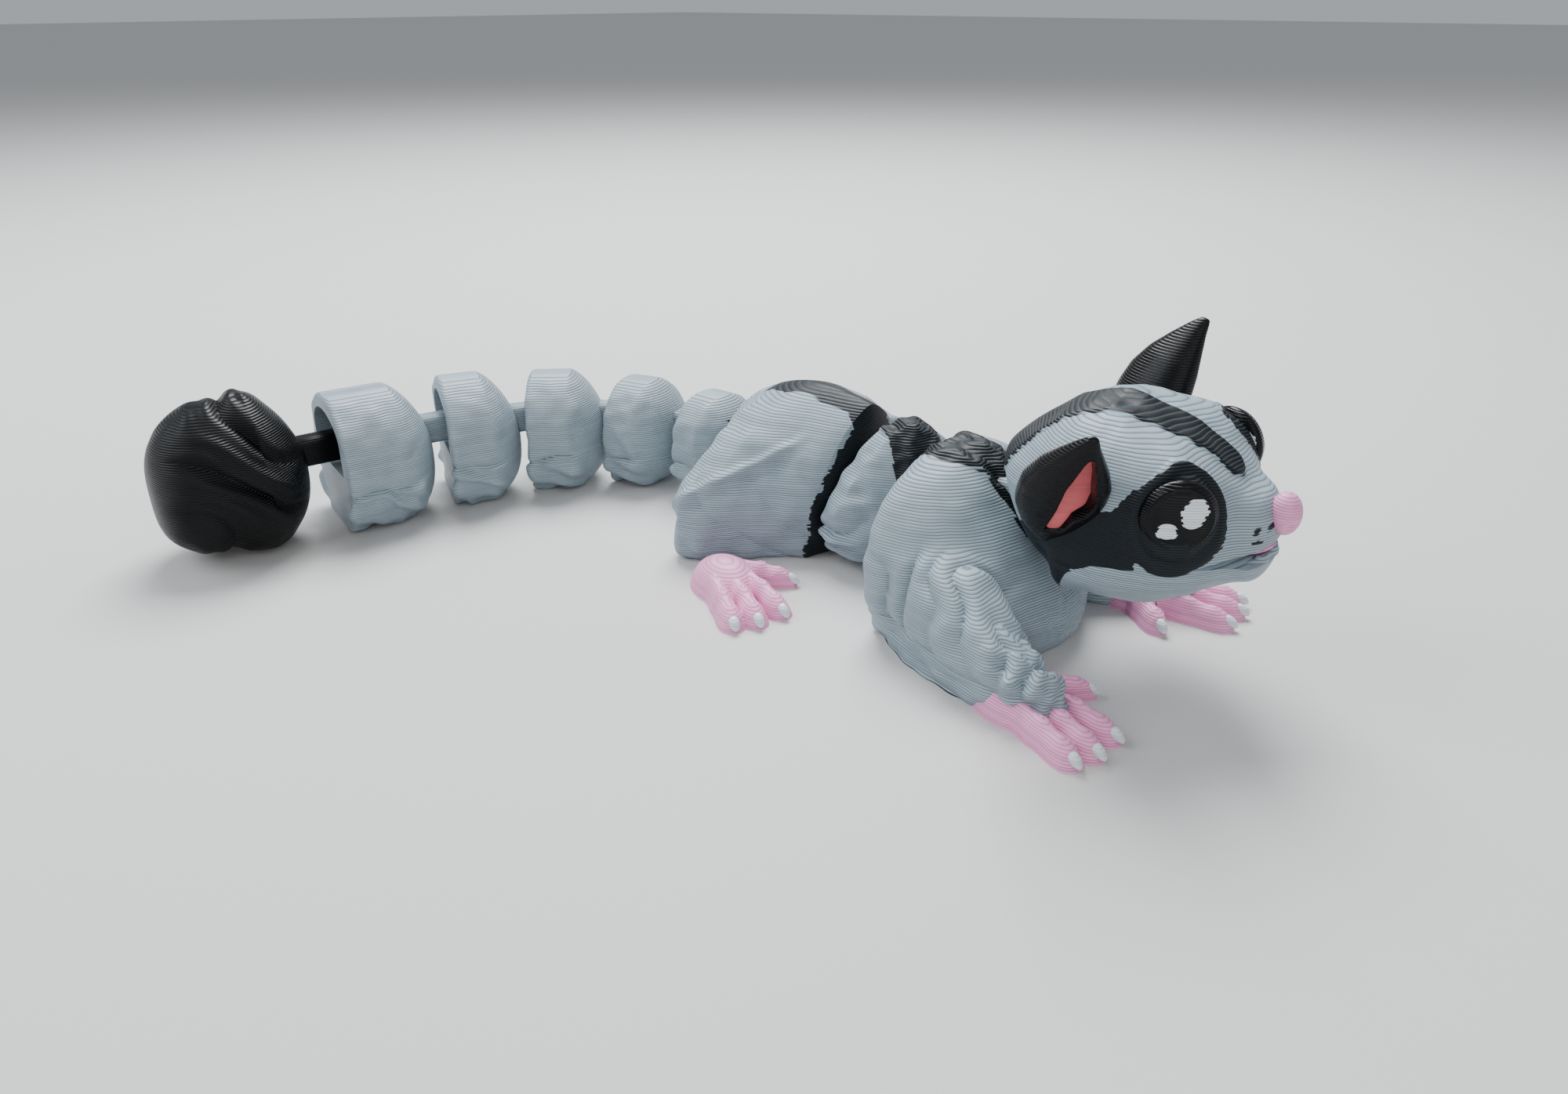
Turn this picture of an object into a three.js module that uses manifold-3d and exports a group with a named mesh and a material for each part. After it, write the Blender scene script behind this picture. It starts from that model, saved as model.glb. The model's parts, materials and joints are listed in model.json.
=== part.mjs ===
// An articulated toy sugar glider, printed in place: ten links that swing on upright pins, from nose to tail tip.
// Millimetres. X runs forward along the chest, Y to the animal's left, Z up; the origin is under the chest.
import * as THREE from "three";
import { mergeVertices } from "three/addons/utils/BufferGeometryUtils.js";
import Module from "manifold-3d";

const wasm = await Module();
wasm.setup();

// The pin joint that every link shares
const TOUCH = 0.3; // gap between pieces that meet face to face
const PIN = 1.15; // radius of the upright pin in a link's back
const RING_HOLE = 1.75;
const RING = 3.3; // outer radius of the ring that turns on the pin
const RING_TALL = 3.8;
const STEM = 1.5; // half width of the stem that carries the ring
const POCKET = 4.2; // half width of the arched pocket round the pin
const POCKET_DROP = 2.7; // from the middle of the ring down to the pocket's floor
const POCKET_SPRING = 1.2; // from the middle of the ring up to where the arch begins
const POCKET_RISE = 0.9; // top of the pocket, as a share of the link's height
const WELL = 3.7; // radius of the round end of the pocket, about the pin
const WELL_RISE = 2.5; // from the middle of the ring up to the top of that round end
const PIN_INSET = 3.9; // from a link's flat back forward to its pin
const REACH = 6; // from a link's ring back to the tip of its domed front

// The chest, which the others hang on; each list is a profile along X
const CHEST = { back: -13.4, front: 5.2, dome: 7.2, pinZ: 9.4, pocketZ: 13.6, neckRoot: -5.6 };
const CHEST_HALF = [[-13.4, 13.2], [-11, 13.6], [-7, 13.4], [-3, 12.4], [0, 11.4], [5.2, 10.2]];
const CHEST_TOP = [[-13.4, 18.4], [-11, 19.4], [-8, 19.4], [-5, 18], [-2, 14.6], [1, 11.4], [5.2, 9]];
const CHEST_AXIS = [[-13.4, 8.6], [-8, 7.4], [-2, 4.6], [5.2, 3]];

// The fold of skin between the legs, as far out as it reaches at its back, its bend and its front
const SKIRT = { backX: -12.2, back: 12, bendX: -4, bend: 15.6, frontX: 5, wrist: 17.5, armpit: 12, thick: 2.6 };
const NECK = { x: 3, z: 15.4 };

// The links behind the chest: how far each is turned from the one ahead, its size and the height of its pin
const MID = { turn: -29, length: 9.7, dome: 6.2, half: 10.6, frontHalf: 9, tall: 17.8, pinZ: 9.4 };
const HIP = { turn: 22.5, length: 20.2, dome: 3.5, half: 10.6, frontHalf: 9, tall: 19.4, pinZ: 8.6 };
const HIP_CROWN = { x: -15, fall: 0.025 }; // the hip is tallest there and falls off with the square
const BEAD = { pocket: 0.7, axis: 0.46, above: 2.25 }; // a bead's pocket and axis, as shares of its half and height
const TAIL_DOME = 5;
const TAIL = [
  { turn: 7.5, length: 9, dome: TAIL_DOME, half: 6.7, tall: 13.9, pinZ: 9 },
  { turn: 15, length: 9.6, dome: TAIL_DOME, half: 7, tall: 14.7, pinZ: 9.6 },
  { turn: 27, length: 10.5, dome: TAIL_DOME, half: 7.6, tall: 16, pinZ: 10.1 },
  { turn: 20, length: 10.4, dome: TAIL_DOME, half: 8.1, tall: 17, pinZ: 10.6 },
  { turn: 11, length: 13.1, dome: TAIL_DOME, half: 8.4, tall: 17.6, pinZ: 10.9 },
];
const TIP = { turn: 3, length: 18.4, dome: 6.5, half: 8.9, tall: 20.2, axis: 9.6, reach: 7 };

// The head, measured upright from the neck pin and then leant over to the right
const HEAD = { turn: 5.3, lean: 7.8, back: -7, nose: 20.7, cap: 2.4, widest: 0.42, pocketZ: 20.4 };
const HEAD_TOP = [
  [-7, 22], [-5.1, 24], [-2.1, 26.3], [2.6, 28.4], [6.8, 28.5], [12.2, 27], [16.1, 24.6], [19.2, 22.5], [20.7, 22.3],
];
const HEAD_LOW = [[-7, 13.5], [-2, 10.4], [3, 8.3], [9, 8.2], [14, 10], [18, 12.2], [20.7, 14.4]];
const HEAD_HALF = [
  [-7, 6.6], [-4.5, 8.2], [-2, 9.3], [3, 10.4], [8, 10.8], [12.5, 10.3], [15, 8.9], [17, 6.9], [18.4, 5.3], [20.7, 3.5],
];
const HEAD_SPREAD = [[-7, 2.2], [0, 2.6], [5, 3], [11, 3.6], [15, 3.3], [17.5, 2.6], [20.7, 2.2]];
const NAPE = { front: 4, z: 21, draw: 0.42, side: 0.045 }; // how the back of the head is drawn forward
const EYE = { at: [13.9, -8.3, 22.7], radius: 3.5, rise: 1.9, ahead: 31, up: 6 };
const NOSE = { at: [21.3, 0, 20.5], long: 1.6, half: 1.6, tall: 2.2 };
const MOUTH = [[15.6, 17.4], [17.6, 16.9], [19.4, 16.2], [26, 15.4], [26, 19], [20.4, 17.9], [17.8, 17.7]];
const TONGUE = { at: [19.3, 0, 17.1], long: 1.5, half: 1.8, thick: 0.36 };

// An ear in its own plane, each list a profile from root to tip, and the cup in its face as (across, up)
const EAR = { root: [3.4, -9.9, 20.6], tip: [8.1, -14.9, 32.1], facing: [0.379, -0.781, -0.494], long: 13.7, sunk: 4 };
const EAR_REAR = [[-4, 2], [0, 4], [3, 4.9], [6, 4.9], [8.5, 4.1], [10.5, 3], [12.2, 1.9], [13.4, 1]];
const EAR_FORE = [[-4, 1.8], [0, 3], [3, 3.4], [6, 3.3], [8, 2.7], [10, 1.9], [12, 1.1], [13.4, 0.7]];
const EAR_FACE = [[-4, 1.2], [0, 1.8], [4, 2], [8, 1.5], [11, 1], [13.4, 0.6]];
const EAR_BACK = [[-4, 2], [0, 2.7], [4, 2.9], [8, 2.3], [11, 1.4], [13.4, 0.7]];
const CUP = [[-1.4, 0], [-0.85, 7.2], [0.2, 11], [1.15, 8], [1.8, 4.6], [1.5, 3.2], [0.4, 2.2], [0, 0]];
const CUP_AT = { across: 0.1, up: 5.4, half: 1.4, deep: 0.9, lining: 0.6 };

// Legs and feet, measured on the right side
const FORELEG = { shoulder: [-8, -6.5, 9.5], wrist: [7.2, -16.2, 2.4], thick: 6.8, thin: 3.6 };
const HINDLEG = { hip: [-13, -6, 8.5], knee: [-21, -20.5, 4.6], thick: 7, thin: 5 };
const FOREPAW = { x: 7.1, y: -14.6, turn: -12 };
const HINDPAW = { x: -10.2, y: -21.2, turn: -16 };
const PALM = { long: 5.4, half: 4, tall: 2.6, z: 1.4 };
const TOE = { thick: 1.4, thin: 1, z: 1.1 };
const TOES = [
  { root: [1.6, -2.2], tip: [9.2, -3.5] },
  { root: [2, -0.1], tip: [9.7, -0.8] },
  { root: [1.6, 1.9], tip: [9, 2.5] },
  { root: [-1, 2.2], tip: [2.8, 6.4] },
];
const CLAW = { long: 2.4, sunk: 0.6, thick: 0.85, thin: 0.5, z: 0.9 };

const GREY = "#8e9ca6";
const BLACK = "#17181b";
const PINK = "#eba9cf";
const CORAL = "#d4666c";
const WHITE = "#e6e9ee";

const radians = THREE.MathUtils.degToRad;
const blend = THREE.MathUtils.lerp;
const ease = THREE.MathUtils.smoothstep;
const power = (value, exponent) => Math.sign(value) * Math.abs(value) ** exponent;

// A closed geometry as a solid that can be joined and cut
function solid(geometry) {
  const bare = geometry.clone();
  bare.deleteAttribute("normal");
  bare.deleteAttribute("uv");
  const merged = mergeVertices(bare, 1e-4);
  const corners = merged.index.array;
  const faces = [];
  for (let i = 0; i < corners.length; i += 3) {
    const [a, b, c] = corners.slice(i, i + 3);
    if (a !== b && b !== c && c !== a) faces.push(a, b, c);
  }
  return new wasm.Manifold(
    new wasm.Mesh({
      numProp: 3,
      vertProperties: merged.attributes.position.array,
      triVerts: new Uint32Array(faces),
    }),
  );
}

// A named mesh of a solid's largest closed surface
function piece(name, body, colour) {
  const largest = body.decompose().sort((a, b) => b.volume() - a.volume())[0];
  const { vertProperties, triVerts } = largest.getMesh();
  const geometry = new THREE.BufferGeometry()
    .setAttribute("position", new THREE.BufferAttribute(new Float32Array(vertProperties), 3))
    .setIndex(new THREE.BufferAttribute(new Uint32Array(triVerts), 1));
  geometry.computeVertexNormals();
  const material = new THREE.MeshStandardMaterial({ color: colour, roughness: 0.55, metalness: 0 });
  const mesh = new THREE.Mesh(geometry, material);
  mesh.name = name;
  return mesh;
}

const floorBlock = solid(new THREE.BoxGeometry(300, 300, 60).translate(0, 0, 30));
const aboveFloor = (body) => body.intersect(floorBlock);
const mirrored = (body) => body.mirror([0, 1, 0]);

// A smooth line through (place, value) points, level past its ends
function profile(points) {
  const curve = new THREE.SplineCurve(points.map(([x, value]) => new THREE.Vector2(x, value)));
  const samples = curve.getPoints(60);
  return (x) => {
    const found = samples.findIndex((sample) => sample.x >= x);
    const next = found < 0 ? samples.length - 1 : Math.max(1, found);
    const [a, b] = [samples[next - 1], samples[next]];
    return blend(a.y, b.y, THREE.MathUtils.clamp((x - a.x) / (b.x - a.x), 0, 1));
  };
}

// A point of the unit ring |out|^square + |up|^square = 1: 2 is a circle, more is boxy, less is like a tent
function squared(turn, square) {
  const out = Math.cos(turn);
  const up = Math.sin(turn);
  const reach = (Math.abs(out) ** square + Math.abs(up) ** square) ** (-1 / square);
  return [out * reach, up * reach];
}

// A ball with poles on X, each point moved by place(tilt from the front pole as a share, turn round X)
function warpedBall(around, along, place) {
  const ball = new THREE.SphereGeometry(1, around, along).rotateZ(-Math.PI / 2);
  const points = ball.attributes.position;
  const point = new THREE.Vector3();
  for (let i = 0; i < points.count; i++) {
    point.fromBufferAttribute(points, i);
    const tilt = Math.acos(THREE.MathUtils.clamp(point.x, -1, 1)) / Math.PI;
    const [x, y, z] = place(tilt, Math.atan2(point.z, point.y));
    points.setXYZ(i, x, y, z);
  }
  return ball;
}

// A ball stretched to three radii
function egg(long, half, tall, around = 14, along = 9) {
  return new THREE.SphereGeometry(1, around, along).scale(long, half, tall);
}

// What a link's skin has unless its shape says otherwise: the squareness of its section above and below the
// axis, how far it is drawn in at the floor and sunk below it, and how its front, rim and sides are finished
const PLAIN_LINK = { below: 4, tuck: 0.12, sunk: 0.3, sharp: 0.7, rim: 1, ripple: 0.35, around: 20, round: false };

// A link's skin: a domed front, a side that ripples near the floor, and a flat back with a rounded rim,
// or a round one. share is how far out from the axis a point lies, from 0 at a pole to 1 on the side.
function linkSkin(shape, grow = 0) {
  const { front, length, dome, half, top, axis, above, below, tuck, sunk, sharp, rim, ripple, around, round } = {
    ...PLAIN_LINK,
    ...shape,
  };
  const DOME_ROWS = 0.42;
  const SIDE_ROWS = 0.8;
  const back = front - length;
  return warpedBall(around, 13, (tilt, turn) => {
    let x = back - grow;
    let share = 1 - rim / half(back);
    if (tilt < DOME_ROWS) {
      share = Math.sin((tilt / DOME_ROWS) * (Math.PI / 2));
      x = front + grow - (dome + grow) * (1 - (1 - share ** 1.8) ** sharp);
    } else if (round) {
      const turnedIn = ((tilt - DOME_ROWS) / (1 - DOME_ROWS)) * (Math.PI / 2);
      x = blend(front - dome, back - grow, Math.sin(turnedIn));
      share = Math.cos(turnedIn) ** 0.7;
    } else if (tilt < SIDE_ROWS) {
      const along = (tilt - DOME_ROWS) / (SIDE_ROWS - DOME_ROWS);
      x = blend(front - dome, back - grow, Math.sin((along * Math.PI) / 2));
      share = 1 - (rim / half(back)) * ease(along, 0.6, 1);
    } else {
      share *= (1 - tilt) / (1 - SIDE_ROWS);
    }
    const [out, up] = squared(turn, Math.sin(turn) > 0 ? above(x) : below);
    const nearFloor = 1 - ease(up, -0.9, 0.1);
    const fold = ripple * nearFloor * share ** 6 * Math.sin(9 * up + 0.5 * x);
    const y = ((half(x) + grow) * share + fold) * out * (1 - tuck * ease(-up, 0.2, 1));
    const rise = (top(x) + grow - axis(x)) * share;
    const drop = (axis(x) + sunk + grow) * share ** 0.6;
    return [x, y, axis(x) + (up > 0 ? rise : drop) * up];
  });
}

// A limb between two places: a ball stretched from one to the other, thinning on the way
function limb(from, to, thick, thin, grow = 0, around = 14, along = 8) {
  const start = new THREE.Vector3(...from);
  const way = new THREE.Vector3(...to).sub(start);
  const ahead = new THREE.Vector3(1, 0, 0);
  const turned = new THREE.Quaternion().setFromUnitVectors(ahead, way.clone().normalize());
  const long = way.length() + 2 * grow;
  const body = warpedBall(around, along, (tilt, turn) => {
    const back = (1 - Math.cos(tilt * Math.PI)) / 2;
    const radius = (blend(thin, thick, back) + grow) * Math.sin(tilt * Math.PI) ** 0.6;
    return [(1 - back) * long - grow, radius * Math.cos(turn), radius * Math.sin(turn)];
  });
  return solid(body.applyQuaternion(turned).translate(start.x, start.y, start.z));
}

// A back with its arched pocket, open behind, and the upright pin that stands in it, sunk into floor and roof
function pinned(body, backX, pinX, ringZ, topZ, half = POCKET) {
  const OPEN = 1;
  const SUNK = 0.6;
  const floorZ = ringZ - POCKET_DROP;
  const springZ = ringZ + POCKET_SPRING;
  const arch = new THREE.Shape();
  arch.moveTo(-half, floorZ);
  arch.lineTo(half, floorZ);
  arch.lineTo(half, springZ);
  arch.absellipse(0, springZ, half, topZ - springZ, 0, Math.PI, false);
  const depth = pinX - backX + OPEN;
  const tunnel = new THREE.ExtrudeGeometry(arch, { depth, bevelEnabled: false, curveSegments: 6 });
  tunnel.rotateX(Math.PI / 2).rotateZ(Math.PI / 2).translate(backX - OPEN, 0, 0);
  const wellTall = WELL_RISE + POCKET_DROP;
  const well = new THREE.CylinderGeometry(WELL, WELL, wellTall, 16).rotateX(Math.PI / 2);
  well.translate(pinX, 0, floorZ + wellTall / 2);
  const tall = topZ - floorZ + 2 * SUNK;
  const pin = new THREE.CylinderGeometry(PIN, PIN, tall, 10).rotateX(Math.PI / 2);
  pin.translate(pinX, 0, floorZ - SUNK + tall / 2);
  return body.subtract(solid(tunnel)).subtract(solid(well)).add(solid(pin));
}

// The ring round the origin's upright axis, and the stem that runs back from it into the link
function ringAndStem(rootX, ringZ) {
  const ring = new THREE.CylinderGeometry(RING, RING, RING_TALL, 16).rotateX(Math.PI / 2);
  const hole = new THREE.CylinderGeometry(RING_HOLE, RING_HOLE, 2 * RING_TALL, 12).rotateX(Math.PI / 2);
  const long = -rootX - RING_HOLE;
  const stem = new THREE.BoxGeometry(long, 2 * STEM, RING_TALL).translate(rootX + long / 2, 0, 0);
  return solid(ring).add(solid(stem)).subtract(solid(hole)).translate([0, 0, ringZ]);
}

// A link behind the chest, in its own frame: the ring's axis is at the origin and the body lies behind it
const pinOf = (spec) => -REACH - spec.length + PIN_INSET;

function linkBody(spec, ringZ, shape) {
  const STEM_ROOT = 1.2;
  const backX = shape.front - spec.length;
  const skin = solid(linkSkin(shape));
  const roof = POCKET_RISE * shape.top(backX);
  const body = spec.pinZ ? pinned(skin, backX, pinOf(spec), spec.pinZ, roof, shape.pocket) : skin;
  return aboveFloor(body.add(ringAndStem(shape.front - STEM_ROOT, ringZ)));
}

const beadShape = (spec) => ({
  front: -REACH,
  length: spec.length,
  dome: spec.dome,
  pocket: BEAD.pocket * spec.half,
  half: () => spec.half,
  top: () => spec.tall,
  axis: () => BEAD.axis * spec.tall,
  above: () => BEAD.above,
});

const tipShape = {
  ...beadShape(TIP),
  front: -TIP.reach,
  axis: () => TIP.axis,
  above: () => 2.1,
  below: 2.5,
  round: true,
};

const midShape = {
  ...beadShape(MID),
  pocket: POCKET,
  half: (x) => blend(MID.frontHalf, MID.half, ease(-x, REACH, REACH + MID.length)),
  axis: () => 5.2,
  above: () => 1.55,
  below: 3.4,
  sharp: 0.8,
  ripple: 0.5,
  around: 28,
};

const hipShape = {
  ...beadShape(HIP),
  pocket: POCKET,
  half: (x) => blend(HIP.frontHalf, HIP.half, ease(-x, REACH + HIP.dome, 18)),
  top: (x) => HIP.tall - HIP_CROWN.fall * (x - HIP_CROWN.x) ** 2,
  axis: () => 5,
  above: (x) => blend(1.5, 2.1, ease(-x, 19, 26)),
  sharp: 0.95,
  around: 28,
};

const chestShape = {
  front: CHEST.front,
  length: CHEST.front - CHEST.back,
  dome: CHEST.dome,
  half: profile(CHEST_HALF),
  top: profile(CHEST_TOP),
  axis: profile(CHEST_AXIS),
  above: () => 2.1,
  sunk: 1.5,
  sharp: 0.5,
  rim: 1.4,
  around: 32,
};

// The chest, with a low breast under the head, and the fold of skin on each side out to the wrist
function skirt(grow) {
  const BEVEL = 0.6;
  const back = SKIRT.backX - grow;
  const front = SKIRT.frontX + grow;
  const edge = new THREE.Shape();
  edge.moveTo(back, 0);
  edge.lineTo(back, -SKIRT.back - grow);
  edge.quadraticCurveTo(SKIRT.bendX, -SKIRT.bend - grow, front, -SKIRT.wrist - grow);
  edge.lineTo(front, -SKIRT.armpit);
  edge.lineTo(0, 0);
  const fold = new THREE.ExtrudeGeometry(edge, {
    depth: SKIRT.thick - BEVEL + grow,
    bevelEnabled: true,
    bevelSize: BEVEL,
    bevelThickness: BEVEL,
    bevelOffset: -BEVEL,
    bevelSegments: 1,
    curveSegments: 6,
  });
  const right = solid(fold);
  return right.add(mirrored(right));
}

const chestForm = (grow = 0) => solid(linkSkin(chestShape, grow)).add(skirt(grow));

const chestPin = CHEST.back + PIN_INSET;

function chestBody() {
  const body = pinned(chestForm(), CHEST.back, chestPin, CHEST.pinZ, CHEST.pocketZ);
  const neck = ringAndStem(CHEST.neckRoot - NECK.x, NECK.z).translate([NECK.x, 0, 0]);
  return aboveFloor(body.add(neck));
}

// The upright head: its top, underside, half width and squareness each follow a profile
const headTop = profile(HEAD_TOP);
const headLow = profile(HEAD_LOW);
const headHalf = profile(HEAD_HALF);
const headSpread = profile(HEAD_SPREAD);

function headSkin(grow = 0) {
  const CAP_ROWS = 0.14;
  const BACK_ROWS = 0.88;
  const { back, nose, cap, widest } = HEAD;
  const ball = warpedBall(28, 19, (tilt, turn) => {
    let x = back - grow;
    let share = (1 - tilt) / (1 - BACK_ROWS);
    if (tilt < CAP_ROWS) {
      share = Math.sin((tilt / CAP_ROWS) * (Math.PI / 2));
      x = nose + grow - cap * (1 - Math.sqrt(1 - share ** 2));
    } else if (tilt < BACK_ROWS) {
      share = 1;
      x = blend(nose + grow - cap, back - grow, (tilt - CAP_ROWS) / (BACK_ROWS - CAP_ROWS));
    }
    const low = headLow(x) - grow;
    const high = headTop(x) + grow;
    const axis = blend(low, high, widest);
    const [out, up] = squared(turn, Math.sin(turn) > 0 ? headSpread(x) : 2.2);
    const y = (headHalf(x) + grow) * share * out;
    const z = axis + (up > 0 ? high - axis : axis - low) * share * up;
    const nape = 1 - ease(x, back, NAPE.front);
    return [x + nape * (NAPE.draw * Math.max(NAPE.z - z, 0) + NAPE.side * y * y), y, z];
  });
  return solid(ball);
}

const headRoom = headSkin(TOUCH);

// A piece of the upright head, leant over with it about the middle of the neck's ring
const leant = (body) => body.translate([0, 0, -NECK.z]).rotate([HEAD.lean, 0, 0]).translate([0, 0, NECK.z]);

// An outline swept towards -Y
function slab(outline, depth) {
  const shape = new THREE.Shape(outline.map(([x, y]) => new THREE.Vector2(x, y)));
  return new THREE.ExtrudeGeometry(shape, { depth, bevelEnabled: false }).rotateX(Math.PI / 2);
}

function mouthCut() {
  const WIDE = 20;
  return solid(slab(MOUTH, WIDE).translate(0, WIDE / 2, 0));
}

function headBody() {
  const skin = leant(headSkin().subtract(mouthCut()));
  return pinned(skin, HEAD.back, 0, NECK.z, HEAD.pocketZ);
}

function noseBody() {
  const { at, long, half, tall } = NOSE;
  return solid(egg(long, half, tall).translate(...at)).subtract(headRoom);
}

function tongueBody() {
  const { at, long, half, thick } = TONGUE;
  return solid(egg(long, half, thick, 12, 6).translate(...at));
}

// The right eye, a low dome that bulges out of the head
function eyeBody() {
  const dome = egg(EYE.radius, EYE.rise, EYE.radius, 16, 11);
  dome.rotateX(-radians(EYE.up)).rotateZ(radians(EYE.ahead)).translate(...EYE.at);
  return solid(dome).subtract(headRoom);
}

// The right ear is made upright, its face towards -Y, then set on the head by its root, tip and facing
function onHead(geometry) {
  const root = new THREE.Vector3(...EAR.root);
  const along = new THREE.Vector3(...EAR.tip).sub(root).normalize();
  const behind = new THREE.Vector3(...EAR.facing).projectOnPlane(along).normalize().negate();
  const across = new THREE.Vector3().crossVectors(behind, along);
  const set = new THREE.Matrix4().makeBasis(across, behind, along).setPosition(root);
  return solid(geometry.applyMatrix4(set));
}

const earRear = profile(EAR_REAR);
const earFore = profile(EAR_FORE);
const earFace = profile(EAR_FACE);
const earBack = profile(EAR_BACK);

function earShell() {
  const middle = (EAR.long - EAR.sunk) / 2;
  const half = (EAR.long + EAR.sunk) / 2;
  const ball = warpedBall(16, 13, (tilt, turn) => {
    const up = middle + half * Math.cos(tilt * Math.PI);
    const closing = Math.sin(tilt * Math.PI) ** 0.35;
    const [rear, fore] = [earRear(up), earFore(up)];
    const across = (fore - rear) / 2 + ((fore + rear) / 2) * closing * Math.cos(turn);
    const thick = (Math.sin(turn) > 0 ? earBack : earFace)(up);
    return [across, thick * closing * power(Math.sin(turn), 0.8), up];
  });
  return onHead(ball).subtract(headRoom);
}

// The cup's outline drawn in by a margin, from its own depth behind the ear's plane out through the face
function cupBlock(margin, from, depth) {
  const { across, up, half } = CUP_AT;
  const drawn = CUP.map(([a, b]) => [
    across + (a - across) * (1 - margin / half),
    up + (b - up) * (1 - margin / up),
  ]);
  return onHead(slab(drawn, depth).translate(0, from, 0));
}

const earBody = () => earShell().subtract(cupBlock(0, CUP_AT.deep, EAR.long));
const earLining = () => cupBlock(TOUCH, CUP_AT.deep - TOUCH, CUP_AT.lining).subtract(headRoom);

// Legs, on the right side
const forelegForm = (grow = 0) => limb(FORELEG.shoulder, FORELEG.wrist, FORELEG.thick, FORELEG.thin, grow);

function forelegBody() {
  return aboveFloor(forelegForm().subtract(chestForm(TOUCH)));
}

const thighForm = (grow = 0) => limb(HINDLEG.hip, HINDLEG.knee, HINDLEG.thick, HINDLEG.thin, grow, 16, 10);
const hipRoom = solid(linkSkin(hipShape, TOUCH));
const hindlegBody = () => aboveFloor(thighForm().subtract(hipRoom));

// A paw in its own frame: the palm over the origin, the toes ahead
const toe = ({ root, tip }, grow = 0) =>
  limb([...root, TOE.z], [...tip, TOE.z], TOE.thick, TOE.thin, grow, 8, 6);

function claw({ root, tip }) {
  const { long, sunk, thick, thin, z } = CLAW;
  const end = new THREE.Vector2(...tip);
  const ahead = end.clone().sub(new THREE.Vector2(...root)).normalize();
  const from = end.clone().addScaledVector(ahead, -sunk);
  const to = end.clone().addScaledVector(ahead, long);
  const hook = limb([from.x, from.y, z], [to.x, to.y, z], thick, thin, 0, 8, 5);
  return aboveFloor(hook.subtract(toe({ root, tip }, TOUCH)));
}

function pawForm() {
  const { long, half, tall, z } = PALM;
  const palm = solid(egg(long, half, tall).translate(0, 0, z));
  return aboveFloor(TOES.reduce((paw, spec) => paw.add(toe(spec)), palm));
}

const setDown = (body, place) => body.rotate([0, 0, place.turn]).translate([place.x, place.y, 0]);

// Pieces that come in pairs are made on the right and mirrored onto the left, and set(body) places each
function pair(name, right, colour, set = (body) => body) {
  return [piece(`${name}_right`, set(right), colour), piece(`${name}_left`, set(mirrored(right)), colour)];
}

function pawAndClaws(name, place, ankle) {
  const paw = setDown(pawForm(), place).subtract(ankle);
  const claws = TOES.flatMap((spec, i) => pair(`${name}_claw_${i + 1}`, setDown(claw(spec), place), WHITE));
  return [...pair(name, paw, PINK), ...claws];
}

// A group turned about the upright pin at x on the link ahead of it
function hungAt(x, turn, ...meshes) {
  const group = new THREE.Group().add(...meshes);
  group.position.x = x;
  group.rotation.z = radians(turn);
  return group;
}

const lastBead = TAIL.at(-1);
const tip = hungAt(pinOf(lastBead), TIP.turn, piece("tail_tip", linkBody(TIP, lastBead.pinZ, tipShape), BLACK));
const ahead = [HIP, ...TAIL];
const tail = TAIL.reduceRight((rest, spec, i) => {
  const bead = piece(`tail_${i + 1}`, linkBody(spec, ahead[i].pinZ, beadShape(spec)), GREY);
  return hungAt(pinOf(ahead[i]), spec.turn, bead, rest);
}, tip);

const hip = hungAt(
  pinOf(MID),
  HIP.turn,
  piece("hip", linkBody(HIP, MID.pinZ, hipShape), GREY),
  ...pair("hindleg", hindlegBody(), GREY),
  ...pawAndClaws("hindpaw", HINDPAW, thighForm(TOUCH).add(hipRoom)),
  tail,
);

const mid = hungAt(chestPin, MID.turn, piece("mid", linkBody(MID, CHEST.pinZ, midShape), GREY), hip);

const head = hungAt(
  NECK.x,
  HEAD.turn,
  piece("head", headBody(), GREY),
  piece("nose", leant(noseBody()), PINK),
  piece("tongue", leant(tongueBody()), PINK),
  ...pair("eye", eyeBody(), BLACK, leant),
  ...pair("ear", earBody(), BLACK, leant),
  ...pair("ear_inner", earLining(), CORAL, leant),
);

const root = new THREE.Group().add(
  piece("chest", chestBody(), GREY),
  ...pair("foreleg", forelegBody(), GREY),
  ...pawAndClaws("forepaw", FOREPAW, forelegForm(TOUCH).add(chestForm(TOUCH))),
  mid,
  head,
);

export default root;
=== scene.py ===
"""The looks of an articulated toy sugar glider, printed in place from plastic in five colours.

Shapes are worked out in millimetres in each link's own frame, with X forward, Y left and Z up from
the floor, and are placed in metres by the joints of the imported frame.
"""

import json
import math

import bpy
import numpy as np
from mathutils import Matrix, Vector


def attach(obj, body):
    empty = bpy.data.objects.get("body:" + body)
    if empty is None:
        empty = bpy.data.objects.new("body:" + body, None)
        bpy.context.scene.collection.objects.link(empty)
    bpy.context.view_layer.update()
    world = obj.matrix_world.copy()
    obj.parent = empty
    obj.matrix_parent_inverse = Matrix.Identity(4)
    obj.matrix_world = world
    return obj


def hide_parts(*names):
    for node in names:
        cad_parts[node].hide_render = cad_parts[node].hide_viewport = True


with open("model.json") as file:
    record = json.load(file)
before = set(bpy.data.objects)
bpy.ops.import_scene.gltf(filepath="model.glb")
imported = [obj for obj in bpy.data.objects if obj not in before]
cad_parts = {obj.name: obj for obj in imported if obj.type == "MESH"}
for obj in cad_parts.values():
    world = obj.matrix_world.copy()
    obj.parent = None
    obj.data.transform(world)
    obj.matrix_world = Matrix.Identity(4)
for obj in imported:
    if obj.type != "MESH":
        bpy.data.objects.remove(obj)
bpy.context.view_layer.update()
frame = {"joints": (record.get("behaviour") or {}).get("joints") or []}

# Sizes in millimetres, all of them measured in the frame of the link that they belong to
MM = 0.001
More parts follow.
